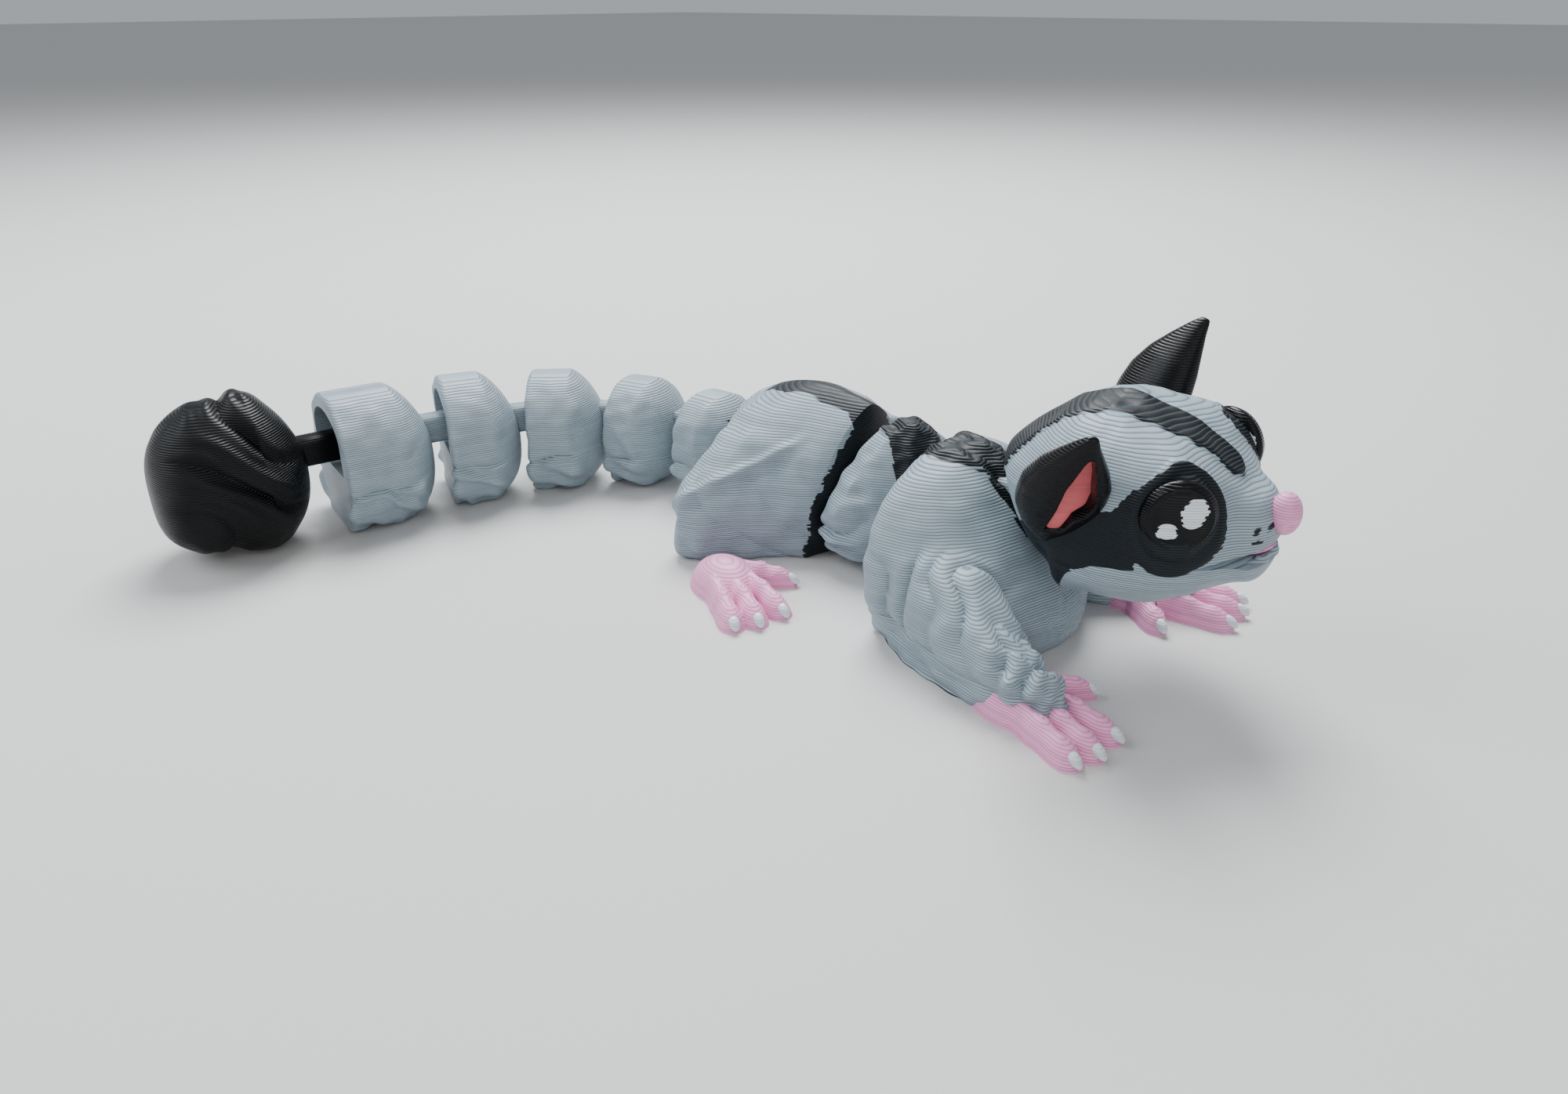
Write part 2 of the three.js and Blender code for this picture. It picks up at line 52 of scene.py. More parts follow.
LAYER = 0.26
TAU = 2 * math.pi

PIN_RADIUS = 1.15
RING = {"hole": 1.75, "outer": 3.3, "tall": 3.8, "stem": 1.5}
POCKET = {"half": 4.2, "drop": 2.7, "well": 3.7, "spring": 1.2, "well_top": 2.5, "rise": 0.9}
PIN_INSET = 3.9
REACH = 6.0

CHEST = {"back": -13.4, "front": 5.2, "dome": 7.2, "pin": 9.4, "pocket": 13.6}
SLEEVE = {
    "path": [(-9.5, -7.4, 7.8), (-6, -9.6, 7), (-2, -11.8, 5.6), (2.4, -13.8, 4.1), (7, -15.1, 3),
             (12.6, -15.6, 2.2)],
    "half": (4.4, 4.6, 4.2, 3.7, 3.3, 3),
    "rise": (6.2, 6.6, 5.6, 4.3, 3.4, 2.7),
}
APRON = {
    "path": [(-12, -9), (-8, -10.6), (-3.7, -11.8), (0.8, -13.2), (4.7, -14.4), (8, -15.4)],
    "half": (3, 3.2, 3.3, 3.4, 3.2, 2.8),
    "rise": (4, 4.4, 4.6, 4.2, 3.4, 2.4),
}
BELOW_FLOOR = 2.0
CHEST_SKIN = {"voxel": 0.3, "rounds": 90}
NECK = {"x": 3.0, "z": 15.4, "pocket": 20.4, "root": -5.6}
MID = {"length": 9.7, "dome": 6.2, "half": 10.6, "tall": 17.8, "pin": 9.4}
HIP = {"length": 20.2, "dome": 3.5, "tall": 19.4, "pin": 8.6}
TAIL = (
    {"length": 9.0, "half": 6.7, "tall": 13.9, "pin": 9.0},
    {"length": 9.6, "half": 7.0, "tall": 14.7, "pin": 9.6},
    {"length": 10.5, "half": 7.6, "tall": 16.0, "pin": 10.1},
    {"length": 10.4, "half": 8.1, "tall": 17.0, "pin": 10.6},
    {"length": 13.1, "half": 8.4, "tall": 17.6, "pin": 10.9},
)
TAIL_DOME = 5.0
TIP = {"length": 18.4, "dome": 6.5, "half": 8.9, "tall": 20.2, "reach": 7.0, "axis": 9.6}

# The head is turned a little on the neck pin and leans over to the right, with the stripe on its crown
HEAD_TURN = 5.3
HEAD_LEAN = 7.8
TIP_TURN = 3.0
HEAD = {"nose": 21.1, "cap": 2.0, "back": -5.8, "rim": 1.2}
TONGUE = {"at": (18.2, 0, 16.75), "half": 2.6, "tall": 0.5, "slope": 0.12}
LIP = {"x": 16.9, "z": 16.0, "long": 3.6, "half": 3.9, "thick": 0.55, "turn": 1.15}
EYE = {"at": (13.9, -8.45, 22.7), "radius": 3.5, "rise": 1.3, "ahead": 30, "up": 6}
NOSE = {"at": (21.2, 0, 20.5), "long": 1.5, "half": 1.6, "tall": 2.2}
WHISKERS = ((19.7, 19.9), (20.6, 19.8), (19.9, 18.9))
EAR = {"root": (3.4, -9.9, 20.6), "tip": (8.1, -14.9, 32.1), "facing": (0.379, -0.781, -0.494), "long": 13.4,
       "sunk": 4}

# Paws and claws
FOREPAW = {"link": "chest", "x": 7.1, "y": -14.6, "turn": -12}
HINDPAW = {"link": "hip", "x": -10.2, "y": -21.2, "turn": -16}
PALM = {"long": 5.4, "half": 4.0, "tall": 3.7}
TOES = (
    ((1.6, -2.2), (9.2, -3.5)),
    ((2.0, -0.1), (9.7, -0.8)),
    ((1.6, 1.9), (9.0, 2.5)),
    ((-1.0, 2.2), (2.8, 6.4)),
)

# The plastics' colours, as linear light
GREY = (0.34, 0.42, 0.475)
BLACK = (0.003, 0.0032, 0.004)
PINK = (0.9, 0.36, 0.62)
CORAL = (0.66, 0.13, 0.14)
WHITE = (0.74, 0.79, 0.84)

# The studio, in metres and degrees
FLOOR_HALF = 3.0
CAMERA = {"lens": 26.64, "sensor": 36, "near": 0.005, "at": (0.0517, -0.1036, 0.064), "tilt": 64.4,
          "turn": 40}
WORLD = {"colour": (0.8, 0.85, 0.9, 1), "strength": 0.5}


# Frames: each link has its origin on its ring's upright axis and X towards the head
def joint_place(name):
    """Where a joint's axis meets the floor, in millimetres."""
    found = next(j for j in frame["joints"] if j["name"] == name)
    return np.array(found["pos_m"][:2], float) / MM


def link_frames():
    """Each link's origin and heading: a link points from the pin in its back to its own ring."""
    names = ["chest_pin", "waist_pin"] + [f"tail_pin_{i}" for i in range(1, 6)] + ["tail_tip_pin"]
    places = [joint_place(name) for name in names]
    links = ["mid", "hip"] + [f"tail_{i}" for i in range(1, 6)]
    frames = {"chest": (np.zeros(2), 0.0), "head": (joint_place("neck_pin"), math.radians(HEAD_TURN))}
    for link, here, behind in zip(links, places, places[1:]):
        ahead = here - behind
        frames[link] = (here, math.atan2(ahead[1], ahead[0]))
    frames["tail_tip"] = (places[-1], frames["tail_5"][1] + math.radians(TIP_TURN))
    return frames


FRAMES = link_frames()


def to_row(points, link):
    """Millimetres in a link's frame as metres in the row frame: a turn about Z, then a move."""
    (x0, y0), heading = FRAMES[link]
    c, s = math.cos(heading), math.sin(heading)
    x, y, z = np.moveaxis(points, -1, 0)
    return np.stack([x0 + c * x - s * y, y0 + s * x + c * y, z], -1) * MM


def from_row(points, link):
    """Metres in the row frame as millimetres in a link's frame."""
    (x0, y0), heading = FRAMES[link]
    c, s = math.cos(heading), math.sin(heading)
    x, y, z = np.moveaxis(points / MM, -1, 0)
    x, y = x - x0, y - y0
    return np.stack([c * x + s * y, c * y - s * x, z], -1)


def turned(points, axis, degrees):
    """Points turned about a coordinate axis through the origin."""
    c, s = math.cos(math.radians(degrees)), math.sin(math.radians(degrees))
    a, b = {"x": (1, 2), "y": (2, 0), "z": (0, 1)}[axis]
    result = np.array(points, float)
    result[..., a] = c * points[..., a] - s * points[..., b]
    result[..., b] = s * points[..., a] + c * points[..., b]
    return result


def leant(points, way=1):
    """The upright head's points leant over about the middle of the neck's ring, or back with way -1."""
    middle = np.array([0, 0, NECK["z"]])
    return turned(points - middle, "x", way * HEAD_LEAN) + middle


def mirrored(points):
    """The same shape on the animal's left."""
    return points * np.array([1, -1, 1])


SIDES = (("right", lambda points: points), ("left", mirrored))


# Small functions on whole arrays
def power(value, exponent):
    return np.sign(value) * np.abs(value) ** exponent


def ease(value, low, high):
    """0 below low, 1 above high, and a smooth S between them."""
    t = np.clip((value - low) / (high - low), 0, 1)
    return t * t * (3 - 2 * t)


def hill(value, centre, width):
    """A bell curve of height 1."""
    return np.exp(-(((value - centre) / width) ** 2))


def curve(value, *stops):
    """A smooth line through (place, value) stops: straight between them, each step eased a little."""
    places = np.array([s[0] for s in stops], float)
    values = np.array([s[1] for s in stops], float)
    fine = np.linspace(places[0], places[-1], 400)
    line = np.interp(fine, places, values)
    soft = max(3, int(400 * 0.35 / len(stops)) | 1)
    padded = np.concatenate([2 * line[0] - line[soft:0:-1], line, 2 * line[-1] - line[-2:-soft - 2:-1]])
    window = np.hanning(soft + 2)[1:-1]
    smooth = np.convolve(padded, window / window.sum(), "same")[soft:-soft]
    return np.interp(value, fine, smooth)


def wobble(points, size, seed, stretch=(1, 1, 1)):
    """Soft noise of about unit height: a sum of waves of about that length in seeded directions, divided
    by the square root of half their number."""
    waves = 14
    draw = np.random.default_rng(seed)
    ways = draw.normal(size=(waves, 3))
    ways /= np.linalg.norm(ways, axis=1)[:, None]
    ways *= TAU / size * draw.uniform(0.6, 1.5, (waves, 1))
    phases = draw.uniform(0, TAU, waves)
    placed = points / np.array(stretch)
    return np.sin(placed @ ways.T + phases).sum(-1) / math.sqrt(waves / 2)


def smooth_max(a, b, soft):
    """The larger of two, with the corner between them rounded over soft."""
    h = np.clip(0.5 + 0.5 * (a - b) / soft, 0, 1)
    return b + (a - b) * h + soft * h * (1 - h)


def squared(turn, square):
    """A point on the unit ring |out| to the power square + |up| to the power square = 1, in the
    direction turn: 2 is a circle, more is boxy and less is like a tent."""
    out, up = np.cos(turn), np.sin(turn)
    reach = (np.abs(out) ** square + np.abs(up) ** square) ** (-1 / square)
    return out * reach, up * reach


def outward(points):
    """The unit normals of a grid that closes on itself across its columns."""
    down = np.gradient(points, axis=0)
    across = np.roll(points, -1, 1) - np.roll(points, 1, 1)
    normal = np.cross(down, across)
    length = np.linalg.norm(normal, axis=-1, keepdims=True)
    normal = normal / np.maximum(length, 1e-9)
    middle = points.mean((0, 1))
    return normal * np.sign((normal * (points - middle)).sum())


def swollen(points, amount):
    """Each point of a grid moved out along its normal, and none below the floor."""
    moved = points + outward(points) * amount[..., None]
    moved[..., 2] = np.maximum(moved[..., 2], 0)
    return moved


def creased(value, centre, width):
    """A sharp valley with soft shoulders, of depth 1."""
    return np.exp(-np.abs(value - centre) / width)


# Meshes
def mesh_of(name, points, faces):
    mesh = bpy.data.meshes.new(name)
    mesh.from_pydata(points.reshape(-1, 3).tolist(), [], faces)
    return mesh


def grid_faces(rows, columns):
    """Quads between neighbouring rows, round all the columns, and a fan at each end's single point."""
    i = np.arange(rows - 3)[:, None] * columns + 1
    j = np.arange(columns)[None, :]
    k = (j + 1) % columns
    quads = np.stack([i + j, i + k, i + columns + k, i + columns + j], -1).reshape(-1, 4)
    j, k = j.ravel(), k.ravel()
    last = (rows - 2) * columns + 1
    start = np.stack([np.zeros_like(j), k + 1, j + 1], -1)
    end = np.stack([np.full_like(j, last), last - columns + j, last - columns + k], -1)
    return quads.tolist() + start.tolist() + end.tolist()


def facing_out(points, faces):
    """The faces turned the way that gives the closed mesh a volume above zero."""
    flat = points - points.mean(0)
    corners = np.array([face[:3] for face in faces])
    a, b, c = (flat[corners[:, n]] for n in range(3))
    inside_out = (a * np.cross(b, c)).sum() < 0
    return [face[::-1] for face in faces] if inside_out else faces


def closed_mesh(name, points, link):
    """A closed mesh of a grid whose first and last rows each shrink to one point, facing out."""
    rows, columns = points.shape[:2]
    inner = points[1:-1].reshape(-1, 3)
    flat = np.concatenate([points[0].mean(0)[None], inner, points[-1].mean(0)[None]])
    return mesh_of(name, to_row(flat, link), facing_out(flat, grid_faces(rows, columns)))


def prism(name, outline, start, end, place, link):
    """An outline swept straight from start to end: place(a, b, along) puts a point of it."""
    outline = np.array(outline, float)
    count = len(outline)
    ends = [place(outline[:, 0], outline[:, 1], np.full(count, along)) for along in (start, end)]
    points = np.concatenate([np.stack(e, -1) for e in ends])
    j = np.arange(count)
    k = (j + 1) % count
    sides = np.stack([j, k, k + count, j + count], -1).tolist()
    if facing_out(points, sides) is not sides:
        sides = [side[::-1] for side in sides]
        caps = [j.tolist(), (j + count)[::-1].tolist()]
    else:
        caps = [j[::-1].tolist(), (j + count).tolist()]
    return mesh_of(name, to_row(points, link), sides + caps)


def numbers(items, key, width):
    """One array of a mesh's vertices or normals, a row for each."""
    flat = np.empty(len(items) * width, np.float32)
    items.foreach_get(key, flat)
    return flat.reshape(-1, width).astype(float)


def finished(thing):
    """The mesh of an object with its modifiers applied; the object is removed."""
    bpy.context.view_layer.update()
    evaluated = thing.evaluated_get(bpy.context.evaluated_depsgraph_get())
    result = bpy.data.meshes.new_from_object(evaluated)
    bpy.data.objects.remove(thing)
    return result


def loose(name, mesh):
    thing = bpy.data.objects.new(name, mesh)
    bpy.context.scene.collection.objects.link(thing)
    return thing


def carved(mesh, *cutters):
    """The mesh with other closed meshes cut out of it."""
    thing = loose("carving", mesh)
    tools = [loose("cutter", cutter) for cutter in cutters]
    for tool in tools:
        step = thing.modifiers.new("cut", "BOOLEAN")
        step.operation = "DIFFERENCE"
        step.solver = "EXACT"
        step.object = tool
    result = finished(thing)
    for tool in tools:
        bpy.data.objects.remove(tool)
    return result


def fused(meshes, voxel, rounds):
    """Closed meshes that overlap as one skin: remeshed on cubes of that size in millimetres, then each
    point drawn towards the middle of its neighbours for a number of rounds."""
    points, faces, count = [], [], 0
    for mesh in meshes:
        points.append(numbers(mesh.vertices, "co", 3))
        faces += [[v + count for v in face.vertices] for face in mesh.polygons]
        count += len(mesh.vertices)
    thing = loose("fusing", mesh_of("fusing", np.concatenate(points), faces))
    remesh = thing.modifiers.new("remesh", "REMESH")
    remesh.mode = "VOXEL"
    remesh.voxel_size = voxel * MM
    soften = thing.modifiers.new("soften", "SMOOTH")
    soften.factor = 0.5
    soften.iterations = rounds
    return finished(thing)


def pushed(mesh, link, amount):
    """Each vertex of a mesh moved along its normal by amount(points, normals), and none below the floor."""
    here = from_row(numbers(mesh.vertices, "co", 3), link)
    heading = FRAMES[link][1]
    normals = turned(numbers(mesh.vertex_normals, "vector", 3), "z", -math.degrees(heading))
    moved = here + normals * amount(here, normals)[:, None]
    moved[:, 2] = np.maximum(moved[:, 2], 0)
    mesh.vertices.foreach_set("co", to_row(moved, link).astype(np.float32).ravel())
    mesh.update()
    return mesh


def made(name, mesh, material, link, stands_for=(), paints=None, sharp=40):
    """The object of a mesh: smooth but for sharp edges, painted from its points, riding on its link."""
    mesh.name = name
    thing = loose(name, mesh)
    mesh.materials.clear()
    mesh.materials.append(material)
    mesh.polygons.foreach_set("use_smooth", np.ones(len(mesh.polygons), bool))
    mesh.set_sharp_from_angle(angle=math.radians(sharp))
    here = from_row(numbers(mesh.vertices, "co", 3), link)
    for key, value in (paints or {}).items():
        layer = mesh.attributes.new(key, "FLOAT", "POINT")
        layer.data.foreach_set("value", value(here).astype(np.float32))
    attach(thing, link)
    if stands_for:
        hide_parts(*stands_for)


# Materials
def new_material(name):
    material = bpy.data.materials.new(name)
    material.use_nodes = True
    tree = material.node_tree
    tree.nodes.clear()
    return material, Nodes(tree)


class Nodes:
    """Short calls to add a material's nodes and join them."""

    def __init__(self, tree):
        self.tree = tree

    def add(self, kind, **settings):
        node = self.tree.nodes.new(kind)
        for key, value in settings.items():
            setattr(node, key, value)
        return node

    def join(self, source, target):
        self.tree.links.new(source, target)

    def math(self, operation, *values):
        node = self.add("ShaderNodeMath", operation=operation)
        for socket, value in zip(node.inputs, values):
            if isinstance(value, (int, float)):
                socket.default_value = value
            else:
                self.join(value, socket)
        return node.outputs[0]

    def mix(self, share, one, two):
        node = self.add("ShaderNodeMix", data_type="RGBA")
        self.join(share, node.inputs[0])
        for socket, value in ((node.inputs[6], one), (node.inputs[7], two)):
            if isinstance(value, tuple):
                socket.default_value = (*value, 1)
            else:
                self.join(value, socket)
        return node.outputs[2]

    def noise(self, place, size, detail):
        """Noise from 0 to 1 with lumps of about that size in millimetres."""
        node = self.add("ShaderNodeTexNoise")
        node.inputs["Scale"].default_value = 1 / (size * MM)
        node.inputs["Detail"].default_value = detail
        self.join(place, node.inputs["Vector"])
        return node.outputs["Fac"]

    def chance(self, value):
        """A number from 0 to 1 that is the same wherever value is."""
        node = self.add("ShaderNodeTexWhiteNoise", noise_dimensions="1D")
        self.join(value, node.inputs["W"])
        return node.outputs["Value"]


def layered(name, colour, roughness=0.42, depth=1.0, paint=None, shine_level=0.4):
    """Printed plastic: rounded layers stacked up Z, each of its own tone, with painted shade darkening the
    groove above it.
    paint is (attribute, second colour, its roughness), laid where it is above 0, with an edge that
    starts anew in each layer."""
    material, n = new_material(name)
    place = n.add("ShaderNodeTexCoord").outputs["Object"]
    split = n.add("ShaderNodeSeparateXYZ")
    n.join(place, split.inputs[0])
    drift = n.noise(place, 7, 2)
    height = n.math("MULTIPLY_ADD", drift, 0.3 * LAYER * MM, split.outputs[2])
    stacked = n.math("DIVIDE", height, LAYER * MM)
    bead = n.math("ABSOLUTE", n.math("SINE", n.math("MULTIPLY", stacked, math.pi)))
    bead = n.math("POWER", bead, 0.6)
    layer = n.chance(n.math("FLOOR", stacked))
    edge_draw = n.chance(n.math("ADD", n.math("FLOOR", stacked), 0.5))

    long_grain = n.add("ShaderNodeMapping")
    long_grain.inputs["Scale"].default_value = (1, 1, 5)
    n.join(place, long_grain.inputs["Vector"])
    grain = n.noise(long_grain.outputs[0], 0.9, 3)
    tone = n.math("MULTIPLY_ADD", layer, 0.45, n.math("MULTIPLY", n.noise(place, 3, 4), 0.55))

    def shades(base):
        dark = tuple(0.78 * c for c in base)
        light = tuple(min(1, 1.12 * c) for c in base)
        return n.mix(tone, dark, light)

    base = shades(colour)
    shine = n.math("MULTIPLY_ADD", grain, 0.14, roughness - 0.07)
    if paint:
        key, second, second_roughness = paint
        field = n.add("ShaderNodeAttribute", attribute_type="GEOMETRY", attribute_name=key)
        ragged = n.math("MULTIPLY_ADD", edge_draw, 0.3, -0.15)
        edge = n.math("ADD", field.outputs["Fac"], ragged)
        share = n.add("ShaderNodeMapRange")
        share.inputs["From Min"].default_value = -0.03
        share.inputs["From Max"].default_value = 0.03
        n.join(edge, share.inputs["Value"])
        base = n.mix(share.outputs[0], base, shades(second))
        rougher = n.math("MULTIPLY", share.outputs[0], second_roughness - roughness)
        shine = n.math("ADD", shine, rougher)
    # Painted shade: the colour is darkened towards a deep teal in the groove between layers, where shade
    # falls.
    painted_groove_shade = n.math("MULTIPLY", n.math("POWER", n.math("SUBTRACT", 1, bead), 1.4), 0.85 * depth)
    base = n.mix(painted_groove_shade, base, tuple(c * t for c, t in zip(colour, (0.1, 0.15, 0.17))))

    bump = n.add("ShaderNodeBump")
    bump.inputs["Strength"].default_value = 1
    bump.inputs["Distance"].default_value = 0.07 * MM * depth
    n.join(n.math("MULTIPLY_ADD", grain, 0.22, bead), bump.inputs["Height"])

    plastic = n.add("ShaderNodeBsdfPrincipled")
    plastic.inputs["Specular IOR Level"].default_value = shine_level
    n.join(base, plastic.inputs["Base Color"])
    n.join(shine, plastic.inputs["Roughness"])
    n.join(bump.outputs[0], plastic.inputs["Normal"])
    out = n.add("ShaderNodeOutputMaterial")
    n.join(plastic.outputs[0], out.inputs[0])
    return material


grey_plastic = layered("grey_plastic", GREY)
striped_plastic = layered("striped_plastic", GREY, paint=("black", BLACK, 0.45), shine_level=0.22)
black_plastic = layered("black_plastic", BLACK, roughness=0.34, shine_level=0.18)
gloss_plastic = layered("gloss_plastic", BLACK, roughness=0.28, depth=0.5, shine_level=0.18)
eye_plastic = layered("eye_plastic", BLACK, roughness=0.22, depth=0.5, paint=("glint", WHITE, 0.35),
                      shine_level=0.18)
pink_plastic = layered("pink_plastic", PINK, roughness=0.45, depth=0.6)
coral_plastic = layered("coral_plastic", CORAL, roughness=0.5, depth=0.3)
white_plastic = layered("white_plastic", WHITE, roughness=0.35, depth=0.4)


# The skin of a link
def stations(front, back, dome, sharp, rim, counts):
    """The rows of a link's skin, from its front pole to its back pole: each row's x and its share of
    the way out. The front is a dome, the side runs straight, the rim is a quarter round and the
    back is flat."""
    domed, side, round_rim, flat = counts
    share_a = np.sin(np.linspace(0, math.pi / 2, domed))
    x_a = front - dome * (1 - np.maximum(1 - share_a**1.8, 0) ** sharp)
    x_b = np.linspace(front - dome, back + rim, side + 1)[1:]
    share_b = np.ones(side)
    turn = np.linspace(0, math.pi / 2, round_rim + 1)[1:]
    x_c = back + rim * (1 - np.sin(turn))
    share_c = 1 - (1 - np.cos(turn)) * rim / 8
    share_d = np.linspace(share_c[-1], 0, flat + 1)[1:]
    x_d = np.full(flat, back)
    return np.concatenate([x_a, x_b, x_c, x_d]), np.concatenate([share_a, share_b, share_c, share_d])


def as_rows(value, x):
    return np.broadcast_to(np.asarray(value, float), x.shape)[:, None]


def link_points(x, share, half, top, axis, above, below, columns=200, tuck=0.0, sunk=0.0):
    """A link's skin: at row x and turn t round X it lies half(x) out and top(x) up from the axis on a
    ring of squareness above, or down to sunk below the floor on one of squareness below, drawn in by
    tuck there."""
    turn = np.linspace(0, TAU, columns, endpoint=False)[None, :]
    half, top, axis = as_rows(half, x), as_rows(top, x), as_rows(axis, x)
    share, spread = share[:, None], as_rows(above, x)
    square = np.where(np.sin(turn) > 0, spread, below)
    out, up = squared(turn, square)
    y = half * share * out * (1 - tuck * ease(-up, 0.2, 1.0))
    z = axis + np.where(up > 0, (top - axis) * share, (axis + sunk) * share**0.6) * up
    return np.stack([x[:, None] + 0 * y, y, z], -1)


def pocket_cutters(link, back, pin_x, ring_z, top_z, half=POCKET["half"]):
    """The arched tunnel from a link's back to its pin, and the round well about the pin."""
    floor_z = ring_z - POCKET["drop"]
    spring_z = ring_z + POCKET["spring"]
    turn = np.linspace(0, math.pi, 25)
    arch = [(-half, floor_z), (half, floor_z)]
    arch += [(half * math.cos(t), spring_z + (top_z - spring_z) * math.sin(t)) for t in turn]
    tunnel = prism("tunnel", arch, back - 3, pin_x, lambda a, b, s: (s, a, b), link)
    around = np.linspace(0, TAU, 41)[1:]
    circle = [(POCKET["well"] * math.cos(t), POCKET["well"] * math.sin(t)) for t in around]
    well_top = ring_z + POCKET["well_top"]
    well = prism("well", circle, floor_z, well_top, lambda a, b, s: (pin_x + a, b, s), link)
    return tunnel, well


def pin_piece(link, pin_x, ring_z, top_z):
    """The upright pin that stands in a link's pocket, a rod turned round its axis."""
    low, high = ring_z - POCKET["drop"] - 0.5, top_z + 0.5
    radius = np.array([0, 0.97, 1, 1, 0.97, 0])[:, None] * PIN_RADIUS
    z = np.array([low, low, low + 0.1, high - 0.1, high, high])[:, None]
    turn = np.linspace(0, TAU, 40, endpoint=False)[None, :]
    points = np.stack([pin_x + radius * np.cos(turn), radius * np.sin(turn), z + 0 * turn], -1)
    made(f"{link}_pin", closed_mesh(f"{link}_pin", points, link), grey_plastic, link)


def ring_piece(name, link, ring_x, ring_z, root_x, material=grey_plastic):
    """A link's ring, a rounded square section carried round its hole, and the stem back to root_x."""
    turn = np.linspace(0, TAU, 64, endpoint=False)[:, None]
    around = np.linspace(0, TAU, 33)[None, :-1]
    out, up = squared(around, 5)
    radius = (RING["outer"] + RING["hole"]) / 2 + (RING["outer"] - RING["hole"]) / 2 * out
    z = ring_z + RING["tall"] / 2 * up + 0 * turn
    points = np.stack([ring_x + radius * np.cos(turn), radius * np.sin(turn), z], -1)
    rows, columns = points.shape[:2]
    i = np.arange(rows)[:, None]
    j = np.arange(columns)[None, :]
    i2, j2 = (i + 1) % rows, (j + 1) % columns
    quads = np.stack([i * columns + j, i2 * columns + j, i2 * columns + j2, i * columns + j2], -1)
    ring = mesh_of(f"{name}_ring", to_row(points, link), quads.reshape(-1, 4).tolist())
    made(f"{name}_ring", ring, material, link, sharp=60)

    along = np.array([0, 0, 0.06, 0.94, 1, 1])
    thick = np.array([0, 0.9, 1, 1, 0.9, 0])[:, None]
    start = ring_x - (RING["hole"] + 0.35)
    x = (start + (root_x - start) * along)[:, None]
    out, up = squared(np.linspace(0, TAU, 32, endpoint=False)[None, :], 5)
    points = np.stack([x + 0 * out, RING["stem"] * thick * out, ring_z + RING["tall"] / 2 * thick * up], -1)
    made(f"{name}_stem", closed_mesh(f"{name}_stem", points, link), material, link, sharp=60)


# The tail
def bead(index, spec, ring_z):
    """A bead of the tail: a barrel with a sharp crease and soft folds low on each side."""
    link = f"tail_{index}"
    front, back = -REACH, -REACH - spec["length"]
    half, tall = spec["half"], spec["tall"]
    x, share = stations(front, back, TAIL_DOME, 0.7, 0.6, (30, 50, 6, 20))
    points = link_points(x, share, half, tall, 0.46 * tall, above=2.25, below=3.2, tuck=0.14)
    along, height = points[..., 0], points[..., 2]
    side = ease(share, 0.75, 1)[:, None] * ease(np.abs(points[..., 1]), 0.3 * half, 0.6 * half)
    drift = 0.35 * wobble(points, 9, index)
    line = 0.34 * tall + 0.1 * (along - back) + drift
    crease = creased(height, line, 0.3) * (1 - 0.6 * ease(along, back + 4, front - 3))
    upper = creased(height, line + 0.2 * tall + 0.5 * np.sin(0.6 * along), 0.5)
    low = 1 - ease(height, line - 0.6, line + 0.1)
    wave = np.sin(2.0 * height + 0.9 * along + index + wobble(points, 6, 10 + index))
    relief = 0.32 * low * wave - 0.5 * crease - 0.16 * upper + 0.25 * low
    points = swollen(points, side * relief + 0.08 * side * wobble(points, 3.5, 20 + index))
    pin_x = back + PIN_INSET
    top_z = POCKET["rise"] * tall
    cutters = pocket_cutters(link, back, pin_x, spec["pin"], top_z, 0.7 * half)
    mesh = carved(closed_mesh(link, points, link), *cutters)
    made(f"{link}_shell", mesh, grey_plastic, link, (link,))
    pin_piece(link, pin_x, spec["pin"], top_z)
    ring_piece(link, link, 0.0, ring_z, front - 1.2)


def tail_tip(ring_z):
    """The tuft: a blunt drop of flowing locks."""
    link = "tail_tip"
    front, back = -TIP["reach"], -TIP["reach"] - TIP["length"]
    share_a = np.sin(np.linspace(0, math.pi / 2, 40))
    x_a = front - TIP["dome"] * (1 - (1 - share_a**1.8) ** 0.7)
    turn = np.linspace(0, math.pi / 2, 111)[1:]
    x_b = front - TIP["dome"] + (back - front + TIP["dome"]) * np.sin(turn)
    share_b = np.maximum(np.cos(turn), 0) ** 0.7
    x, share = np.concatenate([x_a, x_b]), np.concatenate([share_a, share_b])
    points = link_points(x, share, TIP["half"], TIP["tall"], TIP["axis"], above=2.1, below=2.5, columns=220,
                         tuck=0.06)
    along, height = points[..., 0], points[..., 2]
    sweep = 0.8 * height + 0.5 * along + 1.2 * wobble(points, 14, 3, (1.6, 1, 1))
    locks = 1 - np.abs(np.sin(0.5 * sweep)) ** 0.7
    fine = np.sin(2.6 * sweep + 0.8 * wobble(points, 5, 8, (2, 1, 1)))
    relief = 0.3 - 1.1 * locks + 0.13 * fine
    share = share[:, None]
    points = swollen(points, share**2 * ease(share, 0.3, 0.9) * relief - 0.3 * share)
    made("tail_tip_tuft", closed_mesh(link, points, link), black_plastic, link, (link,))
    ring_piece(link, link, 0.0, ring_z, front - 1.2, black_plastic)


